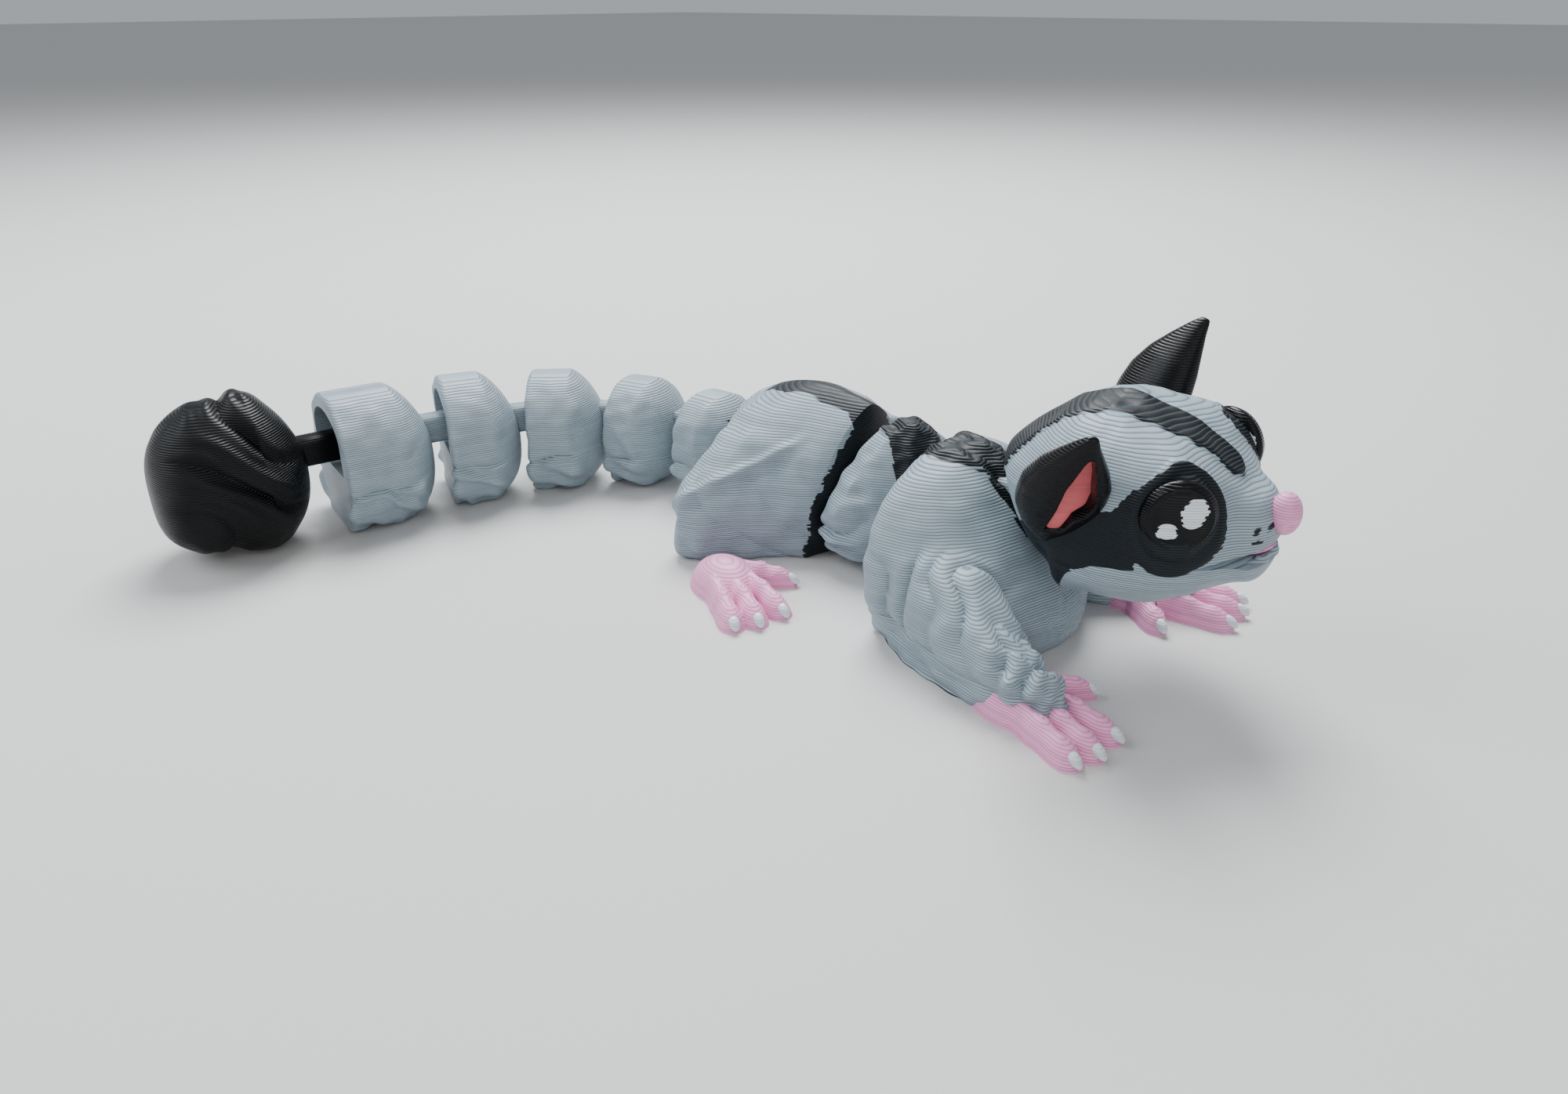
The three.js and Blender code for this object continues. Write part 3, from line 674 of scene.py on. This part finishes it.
# The waist link
def middle():
    """A collar whose sides bulge in two rolls near the floor."""
    link = "mid"
    front, back = -REACH, -REACH - MID["length"]
    x, share = stations(front, back, MID["dome"], 0.8, 1.0, (50, 70, 8, 24))
    half = curve(x, (back, MID["half"]), (-12.5, 10.2), (-9.5, 9.4), (front, 9))
    points = link_points(x, share, half, MID["tall"], 5.2, above=1.55, below=3.4, columns=240, tuck=0.1)
    along, height = points[..., 0], points[..., 2]
    side = ease(share, 0.5, 1)[:, None] * ease(np.abs(points[..., 1]), 3, 7)
    level = height - 0.2 * (along - back) + 0.7 * wobble(points, 9, 4)
    rolls = 0.5 * hill(level, 7.4, 0.9) + 0.6 * hill(level, 4.4, 1.0) - 0.5 * creased(level, 5.9, 0.4)
    folds = 0.2 * np.sin(TAU * level / 1.9) * (1 - ease(level, 3, 5)) - 0.45 * creased(level, 2.6, 0.35)
    points = swollen(points, side * (rolls + folds + 0.12 * wobble(points, 3.5, 5)) - 0.1 * side)
    pin_x = back + PIN_INSET
    top_z = POCKET["rise"] * MID["tall"]
    mesh = carved(closed_mesh(link, points, link), *pocket_cutters(link, back, pin_x, MID["pin"], top_z))
    mesh = ruffled(mesh, link, lambda p: ease(mid_stripe(p), -0.2, 0.3))
    made("mid_collar", mesh, striped_plastic, link, (link,), {"black": mid_stripe})
    pin_piece(link, pin_x, MID["pin"], top_z)
    ring_piece(link, link, 0.0, CHEST["pin"], front - 1.2)


def mid_stripe(p):
    stripe = 3.5 + 0.12 * (p[:, 0] + 10) - np.abs(p[:, 1])
    return np.where(p[:, 2] > 9, stripe, -1)


def ruffled(mesh, link, share, height=0.15):
    """A mesh roughened by short tufts that lie back along X, by a share of each point."""
    def tufts(p, normals):
        ridges = wobble(p, 2.6, 91, (2.4, 1, 1.4)) + 0.4 * wobble(p, 1.3, 92, (2, 1, 1))
        return height * share(p) * (ridges + 0.6) * ease(normals[:, 2], 0.1, 0.5)

    return pushed(mesh, link, tufts)


# The hip, whose sides spread into the thighs
def hip():
    """A tent whose sides spread down to the hind paws, with a ridge and slanting folds on each thigh."""
    link = "hip"
    front, back = -REACH, -REACH - HIP["length"]
    x, share = stations(front, back, HIP["dome"], 0.95, 0.9, (36, 140, 8, 30))
    half = curve(x, (back, 8.6), (-24.8, 10.2), (-23.4, 14.6), (-21.8, 19.2), (-19.8, 20.7), (-17.6, 19.4),
                 (-15, 15.9), (-12.5, 13.0), (-10.6, 10.7), (-9.5, 9.0), (front, 8.8))
    top = HIP["tall"] - 0.025 * (x + 15) ** 2
    axis = curve(x, (back, 7), (-20, 6.2), (-12, 5.0), (-9.5, 4.0), (front, 4.0))
    spread = curve(x, (back, 2.1), (-24, 1.6), (-20, 1.34), (-13, 1.42), (-9.5, 1.55), (front, 1.6))
    points = link_points(x, share, half, top, axis, above=spread, below=8.0, columns=280, sunk=0.3)
    forward = 0.13 * points[..., 2] * ease(x, -13, -9.5)[:, None] * ease(share, 0.2, 1)[:, None]
    points[..., 0] += forward
    along, height = points[..., 0], points[..., 2]
    side = ease(share, 0.85, 1)[:, None] * ease(np.abs(points[..., 1]), 4, 9)
    rise = 13.6 + 0.8 * (along + 12.8)
    ridge = hill(height, rise, 0.9) - 0.5 * creased(height, rise - 2.0, 0.9)
    ridge = ridge * ease(-along, 10.5, 13.5) * (1 - ease(-along, 20, 24))
    slant = height * 0.9 + 0.95 * along + 0.9 * wobble(points, 13, 31)
    folds = 0.3 - np.abs(np.sin(math.pi * slant / 5.4)) ** 0.6
    fold_zone = 1 - ease(height, 8, 12.5)
    relief = 0.6 * ridge - 0.45 * fold_zone * folds + 0.1 * wobble(points, 4, 33)
    points = swollen(points, side * relief)
    pin_x = back + PIN_INSET
    top_z = POCKET["rise"] * (HIP["tall"] - 0.022 * (back + 15) ** 2)
    mesh = carved(closed_mesh(link, points, link), *pocket_cutters(link, back, pin_x, HIP["pin"], top_z))

    def black(p):
        """The stripe and, in front of the edge that leans forward as it rises, the whole face."""
        return np.maximum(hip_stripe(p), p[:, 0] - 0.13 * p[:, 2] + 9.25)

    made("hip_drape", mesh, striped_plastic, link, (link, "hindleg_left", "hindleg_right"),
         {"black": black})
    pin_piece(link, pin_x, HIP["pin"], top_z)
    ring_piece(link, link, 0.0, MID["pin"], front - 1.2, black_plastic)


def hip_stripe(p):
    stripe = 2.9 + 0.3 * wobble(p, 9, 41) - np.abs(p[:, 1])
    stripe = np.where(p[:, 2] > 12, stripe, -1)
    return np.minimum(stripe, p[:, 0] + 23)


# The chest: a barrel under the neck, whose skin spreads down to the wrists
def barrel():
    """The chest's own form: widest at the back, its top falling forward under the neck."""
    front, back = CHEST["front"], CHEST["back"]
    x, share = stations(front, back, CHEST["dome"], 0.5, 1.2, (50, 60, 8, 26))
    half = curve(x, (back, 13.3), (-11, 13.7), (-7, 13.4), (-3, 12.4), (0, 11.4), (front, 10.2))
    top = curve(x, (back, 18.4), (-11, 19.4), (-8, 19.4), (-5, 18), (-2, 14.6), (1, 11.4), (front, 9))
    axis = curve(x, (back, 8.6), (-8, 7.4), (-2, 4.6), (front, 3))
    spread = curve(x, (back, 2.25), (-8, 2.0), (-3, 1.8), (front, 1.8))
    points = link_points(x, share, half, top, axis, above=spread, below=3.4, columns=160, tuck=0.06,
                         sunk=BELOW_FLOOR)
    return closed_mesh("barrel", points, "chest")


def swept(path, halves, rises, columns=64, rows=70, square=2.3):
    """A round bar along a path: each row is an upright ring across the path in plan, that far out and
    that high, with its ends closed to points."""
    t = np.linspace(0, 1, rows)
    path, halves, rises = (np.array(a, float) for a in (path, halves, rises))
    stops = np.linspace(0, 1, len(path))
    centre = np.stack([curve(t, *zip(stops, path[:, n])) for n in range(3)], -1)
    ends = np.sin(math.pi * t) ** 0.3
    wide = (curve(t, *zip(stops, halves)) * ends)[:, None]
    tall = (curve(t, *zip(stops, rises)) * ends)[:, None]
    ahead = np.gradient(centre[:, :2], axis=0)
    ahead /= np.linalg.norm(ahead, axis=1)[:, None]
    across = np.stack([-ahead[:, 1], ahead[:, 0]], -1)
    out, up = squared(np.linspace(0, TAU, columns, endpoint=False)[None, :], square)
    xy = centre[:, None, :2] + across[:, None, :] * (wide * out)[..., None]
    z = np.maximum(centre[:, None, 2] + tall * up, -BELOW_FLOOR)
    return np.concatenate([xy, z[..., None]], -1)


def chest():
    """The barrel, both sleeves and the aprons between the legs as one skin that runs on below the
    floor, softened, pleated, cut off level with the floor and then pocketed."""
    link = "chest"
    forms = [barrel()]
    for _, flip in SIDES:
        sleeve = swept(SLEEVE["path"], SLEEVE["half"], SLEEVE["rise"])
        apron = swept([(x, y, 0) for x, y in APRON["path"]], APRON["half"], APRON["rise"])
        forms += [closed_mesh("sleeve", flip(sleeve), link), closed_mesh("apron", flip(apron), link)]
    skin = fused(forms, CHEST_SKIN["voxel"], CHEST_SKIN["rounds"])

    def pleats(p, normals):
        x, y, z = p[:, 0], np.abs(p[:, 1]), p[:, 2]
        whole = np.stack([x, y, z], -1)
        side = ease(y, 5, 9) * ease(z, 2.6, 4.2) * (1 - ease(z, 9.5, 13)) * ease(x, -14.5, -9)
        slant = 0.95 * x + 0.42 * z + 1.1 * wobble(whole, 9, 51)
        folds = 0.25 - np.abs(np.sin(math.pi * slant / 3.6)) ** 0.7
        rough = wobble(whole, 1.4, 73, (1.5, 1, 1)) * ease(x, 3, 6.5) * ease(z, 0.6, 2)
        crinkle = wobble(whole, 2.6, 75, (2, 1, 0.7)) * (1 - ease(z, 2, 4)) * ease(y, 6, 10)
        brow = -0.5 * creased(z, 3.1 - 0.05 * x, 0.4) * ease(y, 9, 12) * (1 - ease(x, 5, 8))
        return 0.25 - 0.85 * side * folds + 0.2 * rough + 0.14 * crinkle + brow + 0.05 * wobble(whole, 4, 53)

    skin = pushed(skin, link, pleats)
    skin = ruffled(skin, link, lambda p: ease(chest_stripe(p), -0.2, 0.4), 0.2)
    pin_x = CHEST["back"] + PIN_INSET
    cutters = pocket_cutters(link, CHEST["back"], pin_x, CHEST["pin"], CHEST["pocket"])
    made("chest_drape", carved(skin, *cutters), striped_plastic, link,
         ("chest", "foreleg_left", "foreleg_right"), {"black": chest_stripe})
    pin_piece(link, pin_x, CHEST["pin"], CHEST["pocket"])
    ring_piece("neck", link, NECK["x"], NECK["z"], NECK["root"])


def chest_stripe(p):
    half = curve(p[:, 0], (-14, 4.4), (-9.5, 3.9), (-6, 3.1), (-2, 2.6), (12, 2.6))
    stripe = half + 0.35 * wobble(p, 7, 61) - np.abs(p[:, 1])
    return np.where(p[:, 2] > 12, stripe, -1)


# The head, worked out upright and then leant
def head():
    """A broad flat crown that falls to a short muzzle, with a lobe over each eye and a hollow ring about
    it; its back is drawn forward towards the floor and the sides."""
    link = "head"
    nose, cap, back = HEAD["nose"], HEAD["cap"], HEAD["back"]
    cap_share = np.sin(np.linspace(0, math.pi / 2, 30))
    x_side = np.linspace(nose - cap, back + HEAD["rim"], 180)[1:]
    rim = np.linspace(0, math.pi / 2, 11)[1:]
    rim_share = 1 - (1 - np.cos(rim)) * 0.16
    flat_share = np.linspace(rim_share[-1], 0, 31)[1:]
    x = np.concatenate([nose - cap * (1 - np.sqrt(1 - cap_share**2)), x_side,
                        back + HEAD["rim"] * (1 - np.sin(rim)), np.full(len(flat_share), back)])
    share = np.concatenate([cap_share, np.ones(len(x_side)), rim_share, flat_share])
    top = curve(x, (-7, 22.0), (-5.1, 23.2), (-3.5, 24.5), (-2.1, 25.7), (0, 27.2), (2.6, 28.3),
                (4.8, 28.7), (6.8, 28.5), (9.5, 27.8), (12.2, 27.0), (14.4, 25.9), (16.1, 24.6),
                (17.8, 23.1), (19.2, 22.5), (20.7, 22.4))
    low = curve(x, (-7, 13.5), (-2, 10.4), (3, 8.8), (9, 9.9), (14, 12.0), (18, 13.2), (20.7, 13.3))
    half = curve(x, (-7, 6.6), (-4.5, 8.2), (-2, 9.3), (3, 10.4), (8, 10.8), (12.5, 10.3), (15, 8.9),
                 (17, 6.9), (18.4, 5.3), (19.6, 4.2), (20.7, 3.5))
    spread = curve(x, (-7, 2.2), (0, 2.6), (5, 3.0), (11, 3.6), (15, 3.3), (17.5, 2.6), (20.7, 2.2))
    axis = (low + 0.42 * (top - low))[:, None]
    turn = np.linspace(0, TAU, 320, endpoint=False)[None, :]
    high = np.sin(turn) > 0
    out, up = squared(turn, np.where(high, spread[:, None], 2.2))
    y = half[:, None] * share[:, None] * out
    z = axis + np.where(high, top[:, None] - axis, axis - low[:, None]) * share[:, None] * up
    points = np.stack([x[:, None] + 0 * y, y, z], -1)
    rear = 1 - ease(points[..., 0], back, 4)
    points[..., 0] += rear * (0.42 * np.maximum(21 - z, 0) + 0.045 * y**2)

    sx, sy, sz = points[..., 0], np.abs(points[..., 1]), points[..., 2]
    body = share[:, None] ** 2
    brow = 0.6 * hill(sx, 12.6, 3.4) * hill(sy, 6.6, 2.6)
    ring = mask_oval(points)
    socket = 0.14 * ease(ring, -0.1, 0.25) - 0.3 * hill(ring, 1.3, 0.45)
    socket = np.where(sy > 3.6, socket, 0)
    stripe = 0.3 * ease(stripe_field(points), -0.2, 0.3)
    cheek = 0.5 * hill(sx, 8, 4) * hill(sz, 15, 2.5) - 0.3 * creased(sz, 15.6, 0.4) * hill(sx, 4.5, 3)
    muzzle = -0.35 * hill(sx, 18.2, 1.2) * hill(sz, 20.5, 2.2) * ease(sy, 2, 4)
    points = swollen(points, body * (brow + socket + stripe + cheek + muzzle + 0.07 * wobble(points, 5, 81)))
    pocket = pocket_cutters(link, back, 0.0, NECK["z"], NECK["pocket"])
    mesh = carved(closed_mesh(link, leant(points), link), *pocket, mouth_cutter(link))
    made("head_skin", mesh, striped_plastic, link, ("head",), {"black": head_black})
    pin_piece(link, 0.0, NECK["z"], NECK["pocket"])


def stripe_field(p):
    """How far inside the stripe from the nape to the brow a point lies: its half width narrows
    towards a round front end."""
    x, y, z = p[..., 0], np.abs(p[..., 1]), p[..., 2]
    half = curve(x, (-8, 4.8), (-3, 4.0), (2, 2.9), (6, 2.5), (12, 2.2), (15, 1.8), (30, 1.8))
    past = np.maximum(x - 15.3, 0)
    return np.where(z > 17, half - np.sqrt(y**2 + past**2), -1)


def mask_oval(p):
    """How far inside the oval of the mask about the eye a point lies; it closes towards the crown."""
    crown = np.maximum(6.6 - np.abs(p[..., 1]), 0) / 2.6
    wide, high = (p[..., 0] - 14.0) / 4.2, (p[..., 2] - 22.1) / 5.2
    return 4.7 * (1 - np.sqrt(wide**2 + high**2 + crown**2))


def head_black(p):
    """Inside the stripe, or inside the mask: an oval round the eye, a band back from it to the ear,
    and a patch from the ear down the neck."""
    p = leant(p, -1)
    x, y, z = p[:, 0], np.abs(p[:, 1]), p[:, 2]
    upper = curve(x, (-8, 15.5), (-2, 17.2), (2, 20.4), (6, 22.6), (7.6, 22.5), (8.6, 23.0), (10, 25))
    lower = curve(x, (0, 11), (3.3, 12.3), (4.6, 15.2), (7, 16.7), (12, 17.3))
    band = np.minimum(np.minimum(z - lower, upper - z), 11 - x)
    patch = np.minimum(np.minimum(3.2 + 0.3 * (z - 12) - x, upper - z), z - 8)
    mask = smooth_max(mask_oval(p), smooth_max(band, patch, 0.3), 0.5)
    mask = np.where(y > 3.6, mask, -1)
    dots = [0.27 - np.sqrt((x - dx) ** 2 + (z - dz) ** 2) for dx, dz in WHISKERS]
    dots = np.where(y > 1, np.max(dots, 0), -1)
    return np.maximum(np.maximum(mask, dots), stripe_field(p))


def mouth_cutter(link):
    """The gape: a wedge across the muzzle, widening forward from its corners."""
    outline = [(15.6, 17.4), (17.6, 16.9), (19.4, 16.2), (26, 15.4), (26, 19.0), (20.4, 17.9), (17.8, 17.7)]
    half = 10

    def place(a, b, s):
        points = leant(np.stack([a, s, b], -1))
        return points[:, 0], points[:, 1], points[:, 2]

    return prism("gape", outline, -half, half, place, link)


def ball(long, half, tall, rows, columns):
    """A ball stretched to three radii, with its poles on X."""
    tilt = np.linspace(0, math.pi, rows)[:, None]
    turn = np.linspace(0, TAU, columns, endpoint=False)[None, :]
    x = long * np.cos(tilt) + 0 * turn
    return np.stack([x, half * np.sin(tilt) * np.cos(turn), tall * np.sin(tilt) * np.sin(turn)], -1)


def eye(side, flip):
    """A low glossy dome with a raised rim, and two pale glints let into it."""
    dome = turned(ball(EYE["rise"], EYE["radius"], EYE["radius"], 70, 100), "z", -90)
    edge = np.hypot(dome[..., 0], dome[..., 2])
    dome[..., 1] -= 0.22 * hill(edge, EYE["radius"] - 0.55, 0.25) * (dome[..., 1] < 0)
    dome = turned(turned(dome, "x", -EYE["up"]), "z", EYE["ahead"]) + np.array(EYE["at"])

    def glint(p):
        p = leant(p, -1)
        x, z = p[:, 0], p[:, 2]
        big = 1.04 - np.sqrt((1.1 * (x - 15.4)) ** 2 + (0.78 * (z - 23.5)) ** 2)
        small = 0.8 - np.sqrt((0.95 * (x - 13.5)) ** 2 + (1.05 * (z - 21.85)) ** 2)
        return np.maximum(big, small)

    mesh = closed_mesh(f"eye_dome_{side}", leant(flip(dome)), "head")
    made(f"eye_dome_{side}", mesh, eye_plastic, "head", (f"eye_{side}",), {"glint": glint})


def nose():
    """A rounded bulb with a dimple on each side for the nostrils."""
    points = ball(NOSE["long"], NOSE["half"], NOSE["tall"], 60, 80)
    x, y, z = np.moveaxis(points, -1, 0)
    narrow = 1 - 0.22 * ease(-z, 0, 2.2)
    points = points * np.stack([0 * x + 1, narrow, 0 * x + 1], -1)
    dimple = hill(x, 0.9, 0.5) * hill(np.abs(y), 1.2, 0.45) * hill(z, -1.0, 0.6)
    points = points * (1 - 0.25 * dimple[..., None]) + np.array(NOSE["at"])
    made("nose_bulb", closed_mesh("nose_bulb", leant(points), "head"), pink_plastic, "head",
         ("nose",))


def tongue():
    """A flat pad between the jaws."""
    points = ball(TONGUE["half"], TONGUE["half"], TONGUE["tall"], 30, 60)
    points[..., 2] += TONGUE["slope"] * points[..., 0]
    points = leant(points + np.array(TONGUE["at"]))
    made("tongue_pad", closed_mesh("tongue_pad", points, "head"), pink_plastic, "head",
         ("tongue",))


def lower_lip():
    """A bumpy roll along the edge of the lower jaw, bent round the muzzle."""
    turn = np.linspace(-LIP["turn"], LIP["turn"], 90)
    ends = np.cos(turn / LIP["turn"] * math.pi / 2) ** 0.35
    bumps = 1 + 0.22 * np.sin(9.5 * turn)
    radius = (LIP["thick"] * ends * bumps)[:, None]
    along = LIP["x"] + LIP["long"] * np.cos(turn)
    middle = np.stack([along, LIP["half"] * np.sin(turn), LIP["z"] + 0 * turn], -1)
    away = np.stack([np.cos(turn), np.sin(turn), 0 * turn], -1)
    around = np.linspace(0, TAU, 24, endpoint=False)[None, :, None]
    points = middle[:, None] + radius[..., None] * (away[:, None] * np.cos(around)
                                                    + np.array([0, 0, 1]) * np.sin(around))
    made("lower_lip", closed_mesh("lower_lip", leant(points), "head"), grey_plastic, "head")


def ear_place(points):
    """An ear's own frame set on the head: across it, out of its face, and along it from root to tip."""
    root, tip = np.array(EAR["root"]), np.array(EAR["tip"])
    along = (tip - root) / np.linalg.norm(tip - root)
    facing = np.array(EAR["facing"])
    facing = facing - along * (facing @ along)
    facing /= np.linalg.norm(facing)
    return root + points @ np.stack([np.cross(along, facing), facing, along])


def ear_edges(up):
    """How far the ear reaches to its back edge and to its front edge, at each height."""
    rear = curve(up, (-4, 2.0), (0, 4.0), (3, 4.9), (6, 4.9), (8.5, 4.1), (10.5, 3.0), (12.2, 1.9),
                 (13.4, 1.0))
    fore = curve(up, (-4, 1.8), (0, 3.0), (3, 3.4), (6, 3.3), (8, 2.7), (10, 1.9), (12, 1.1), (13.4, 0.7))
    return rear, fore


def cup_edges(up):
    """The edges of the cup in the ear's face, at each height."""
    left = curve(up, (-1, -1.5), (0.6, -1.3), (7.2, -0.85), (11, 0.15))
    right = curve(up, (-1, -0.3), (0.8, 0.0), (2.2, 0.4), (3.2, 1.5), (4.6, 1.8), (8, 1.15), (11, 0.25))
    return left, right


def ear(side, flip):
    """A leaf with a round back and thick rolled edges, hollowed to a cup with a coral lining."""
    tilt = np.linspace(0, math.pi, 110)[:, None]
    middle = (EAR["long"] - EAR["sunk"]) / 2
    up = middle + (EAR["long"] + EAR["sunk"]) / 2 * np.cos(tilt)
    rear, fore = ear_edges(up)
    closing = np.sin(tilt) ** 0.35
    turn = np.linspace(0, TAU, 200, endpoint=False)[None, :]
    across = (fore - rear) / 2 + (fore + rear) / 2 * closing * np.cos(turn)
    front = curve(up, (-4, 1.2), (0, 1.8), (4, 2.0), (8, 1.5), (11, 1.0), (13.4, 0.6))
    behind = curve(up, (-4, 2.0), (0, 2.7), (4, 2.9), (8, 2.3), (11, 1.4), (13.4, 0.7))
    deep = np.where(np.sin(turn) > 0, front, behind) * closing * power(np.sin(turn), 0.8)
    left, right = cup_edges(up)
    cup = ease(across, left - 0.35, left + 0.45) * (1 - ease(across, right - 0.35, right + 0.45))
    cup = cup * ease(up, -0.4, 0.9) * (1 - ease(up, 10, 11.4)) * (np.sin(turn) > 0)
    deep = deep - cup * (front + 0.7)
    lobes = 0.3 * hill(up, 2.5, 1.6) * hill(across, -3.4, 1.3)
    lobes = lobes - 0.25 * creased(up, 5.2, 0.5) * hill(across, -3.9, 1)
    points = np.stack([across + 0 * up, deep + 0.5 * lobes * (np.sin(turn) > 0), up + 0 * across], -1)
    mesh = closed_mesh(f"ear_shell_{side}", leant(flip(ear_place(points))), "head")
    made(f"ear_shell_{side}", mesh, gloss_plastic, "head", (f"ear_{side}",), sharp=70)

    up = 5.2 + 5.6 * np.cos(tilt)
    left, right = cup_edges(up)
    wide = (right - left + 0.5) / 2 * np.sin(tilt) ** 0.3
    across = (left + right) / 2 + wide * np.cos(turn)
    deep = -0.62 + 1.7 * (1 - ease(up, 0, 6)) + 0.3 * np.sin(tilt) ** 0.5 * power(np.sin(turn), 0.6)
    points = np.stack([across, deep, up + 0 * across], -1)
    mesh = closed_mesh(f"ear_lining_{side}", leant(flip(ear_place(points))), "head")
    made(f"ear_lining_{side}", mesh, coral_plastic, "head", (f"ear_inner_{side}",))


# Paws and claws
def paw_field(x, y):
    """Above 0 inside the paw's outline: the smooth union of the palm's oval and each toe's bar; the
    second value is the height of its back there."""
    palm = 1 - np.sqrt((x / PALM["long"]) ** 2 + (y / PALM["half"]) ** 2)
    field, height = 3.2 * palm, PALM["tall"] * np.sqrt(np.maximum(1 - (1 - np.maximum(palm, 0)) ** 2, 0))
    for (x0, y0), (x1, y1) in TOES:
        dx, dy = x1 - x0, y1 - y0
        t = np.clip(((x - x0) * dx + (y - y0) * dy) / (dx * dx + dy * dy), 0, 1)
        away = np.hypot(x - x0 - t * dx, y - y0 - t * dy)
        radius = 1.3 + 0.28 * hill(t, 0.9, 0.22) + 0.15 * hill(t, 0.45, 0.12)
        round_top = np.sqrt(np.maximum(1 - (away / radius) ** 2, 0))
        back = (2.9 - 0.75 * t + 0.35 * hill(t, 0.5, 0.12) + 0.25 * hill(t, 0.9, 0.12)) * round_top
        field = smooth_max(field, radius - away, 0.25)
        height = smooth_max(height, back, 0.2)
    return field, height


def paw(name, side, place, flip):
    """A paw, cast out from the middle of its palm to its outline in every direction, and raised to the
    height of palm and toes."""
    turn = np.linspace(0, TAU, 420, endpoint=False)[None, :]
    reach = np.linspace(0.5, 12.5, 240)[:, None]
    inside = paw_field(reach * np.cos(turn), reach * np.sin(turn))[0] > 0
    steps = np.where(inside.all(0), len(reach) - 1, np.argmin(inside, 0))
    edge = reach[:, 0][steps]
    edge = (edge + np.roll(edge, 1) + np.roll(edge, -1)) / 3
    share = np.sin(np.linspace(0, math.pi / 2, 80))[:, None]
    x, y = share * edge * np.cos(turn), share * edge * np.sin(turn)
    height = paw_field(x, y)[1]
    rim = np.sqrt(np.maximum(1 - share**10, 0))
    z = np.maximum(height, 0.5) * rim
    upper = np.stack([x, y, z], -1)
    under = np.stack([x[::-1][1:], y[::-1][1:], 0 * z[1:]], -1)[::8]
    points = np.concatenate([upper, under, np.zeros((1, turn.size, 3))])
    points = turned(points, "z", place["turn"]) + np.array([place["x"], place["y"], 0])
    link = place["link"]
    mesh = closed_mesh(f"{name}_foot_{side}", flip(points), link)
    made(f"{name}_foot_{side}", mesh, pink_plastic, link, (f"{name}_{side}",))
    for i, (root, tip) in enumerate(TOES, 1):
        claw(f"{name}_claw_{i}_{side}", root, tip, place, flip)


def claw(node, root, tip, place, flip):
    """A short hooked cone out of the end of a toe: its radius falls to its tip, which bends down."""
    start, end = np.array(root), np.array(tip)
    ahead = (end - start) / np.linalg.norm(end - start)
    across = np.array([-ahead[1], ahead[0]])
    t = np.linspace(0, 1, 26)
    reach = 0.4 + 1.5 * t
    middle_z = 1.15 - 0.5 * t**2
    radius = 0.62 * np.sqrt(np.maximum(1 - t**2.6, 0)) * np.sqrt(np.minimum(1, 8 * t))
    turn = np.linspace(0, TAU, 28, endpoint=False)[None, :]
    plan = end + ahead * reach[:, None]
    xy = plan[:, None, :] + across * (radius[:, None] * np.cos(turn))[..., None]
    z = np.maximum(middle_z[:, None] + radius[:, None] * np.sin(turn), 0)
    points = np.concatenate([xy, z[..., None]], -1)
    points = turned(points, "z", place["turn"]) + np.array([place["x"], place["y"], 0])
    mesh = closed_mesh(f"{node}_hook", flip(points), place["link"])
    made(f"{node}_hook", mesh, white_plastic, place["link"], (node,))


head()
nose()
tongue()
lower_lip()
chest()
middle()
hip()
for side, flip in SIDES:
    eye(side, flip)
    ear(side, flip)
    paw("forepaw", side, FOREPAW, flip)
    paw("hindpaw", side, HINDPAW, flip)
ring_heights = [HIP["pin"]] + [spec["pin"] for spec in TAIL]
for index, spec in enumerate(TAIL, 1):
    bead(index, spec, ring_heights[index - 1])
tail_tip(ring_heights[-1])


# The floor, the lights and the camera
def floor():
    half = FLOOR_HALF
    corners = np.array([(-half, -half, 0), (half, -half, 0), (half, half, 0), (-half, half, 0)])
    thing = loose("floor", mesh_of("floor", corners, [(0, 1, 2, 3)]))
    material, n = new_material("floor_paint")
    paint = n.add("ShaderNodeBsdfPrincipled")
    paint.inputs["Base Color"].default_value = (0.62, 0.61, 0.6, 1)
    paint.inputs["Roughness"].default_value = 0.7
    out = n.add("ShaderNodeOutputMaterial")
    n.join(paint.outputs[0], out.inputs[0])
    thing.data.materials.append(material)


def lamp(name, place, aim, size, watts, colour):
    light = bpy.data.lights.new(name, "AREA")
    light.size = size
    light.energy = watts
    light.color = colour
    thing = bpy.data.objects.new(name, light)
    thing.location = place
    way = Vector(aim) - Vector(place)
    thing.rotation_euler = way.to_track_quat("-Z", "Y").to_euler()
    bpy.context.scene.collection.objects.link(thing)


def camera():
    view = bpy.data.cameras.new("camera")
    view.lens = CAMERA["lens"]
    view.sensor_width = CAMERA["sensor"]
    view.clip_start = CAMERA["near"]
    thing = bpy.data.objects.new("camera", view)
    thing.location = CAMERA["at"]
    thing.rotation_euler = (math.radians(CAMERA["tilt"]), 0, math.radians(CAMERA["turn"]))
    bpy.context.scene.collection.objects.link(thing)
    bpy.context.scene.camera = thing


floor()
lamp("key", (-0.22, 0.2, 0.42), (-0.02, 0, 0), 0.3, 5.0, (0.95, 0.98, 1))
lamp("fill", (0.35, -0.35, 0.3), (-0.02, 0, 0), 0.5, 1.2, (1, 0.98, 0.95))
lamp("rim", (-0.3, -0.25, 0.3), (-0.03, 0, 0), 0.3, 1.2, (0.9, 0.95, 1))
world = bpy.data.worlds.new("studio")
bpy.context.scene.world = world
world.use_nodes = True
backdrop = world.node_tree.nodes["Background"]
backdrop.inputs[0].default_value = WORLD["colour"]
backdrop.inputs[1].default_value = WORLD["strength"]
camera()
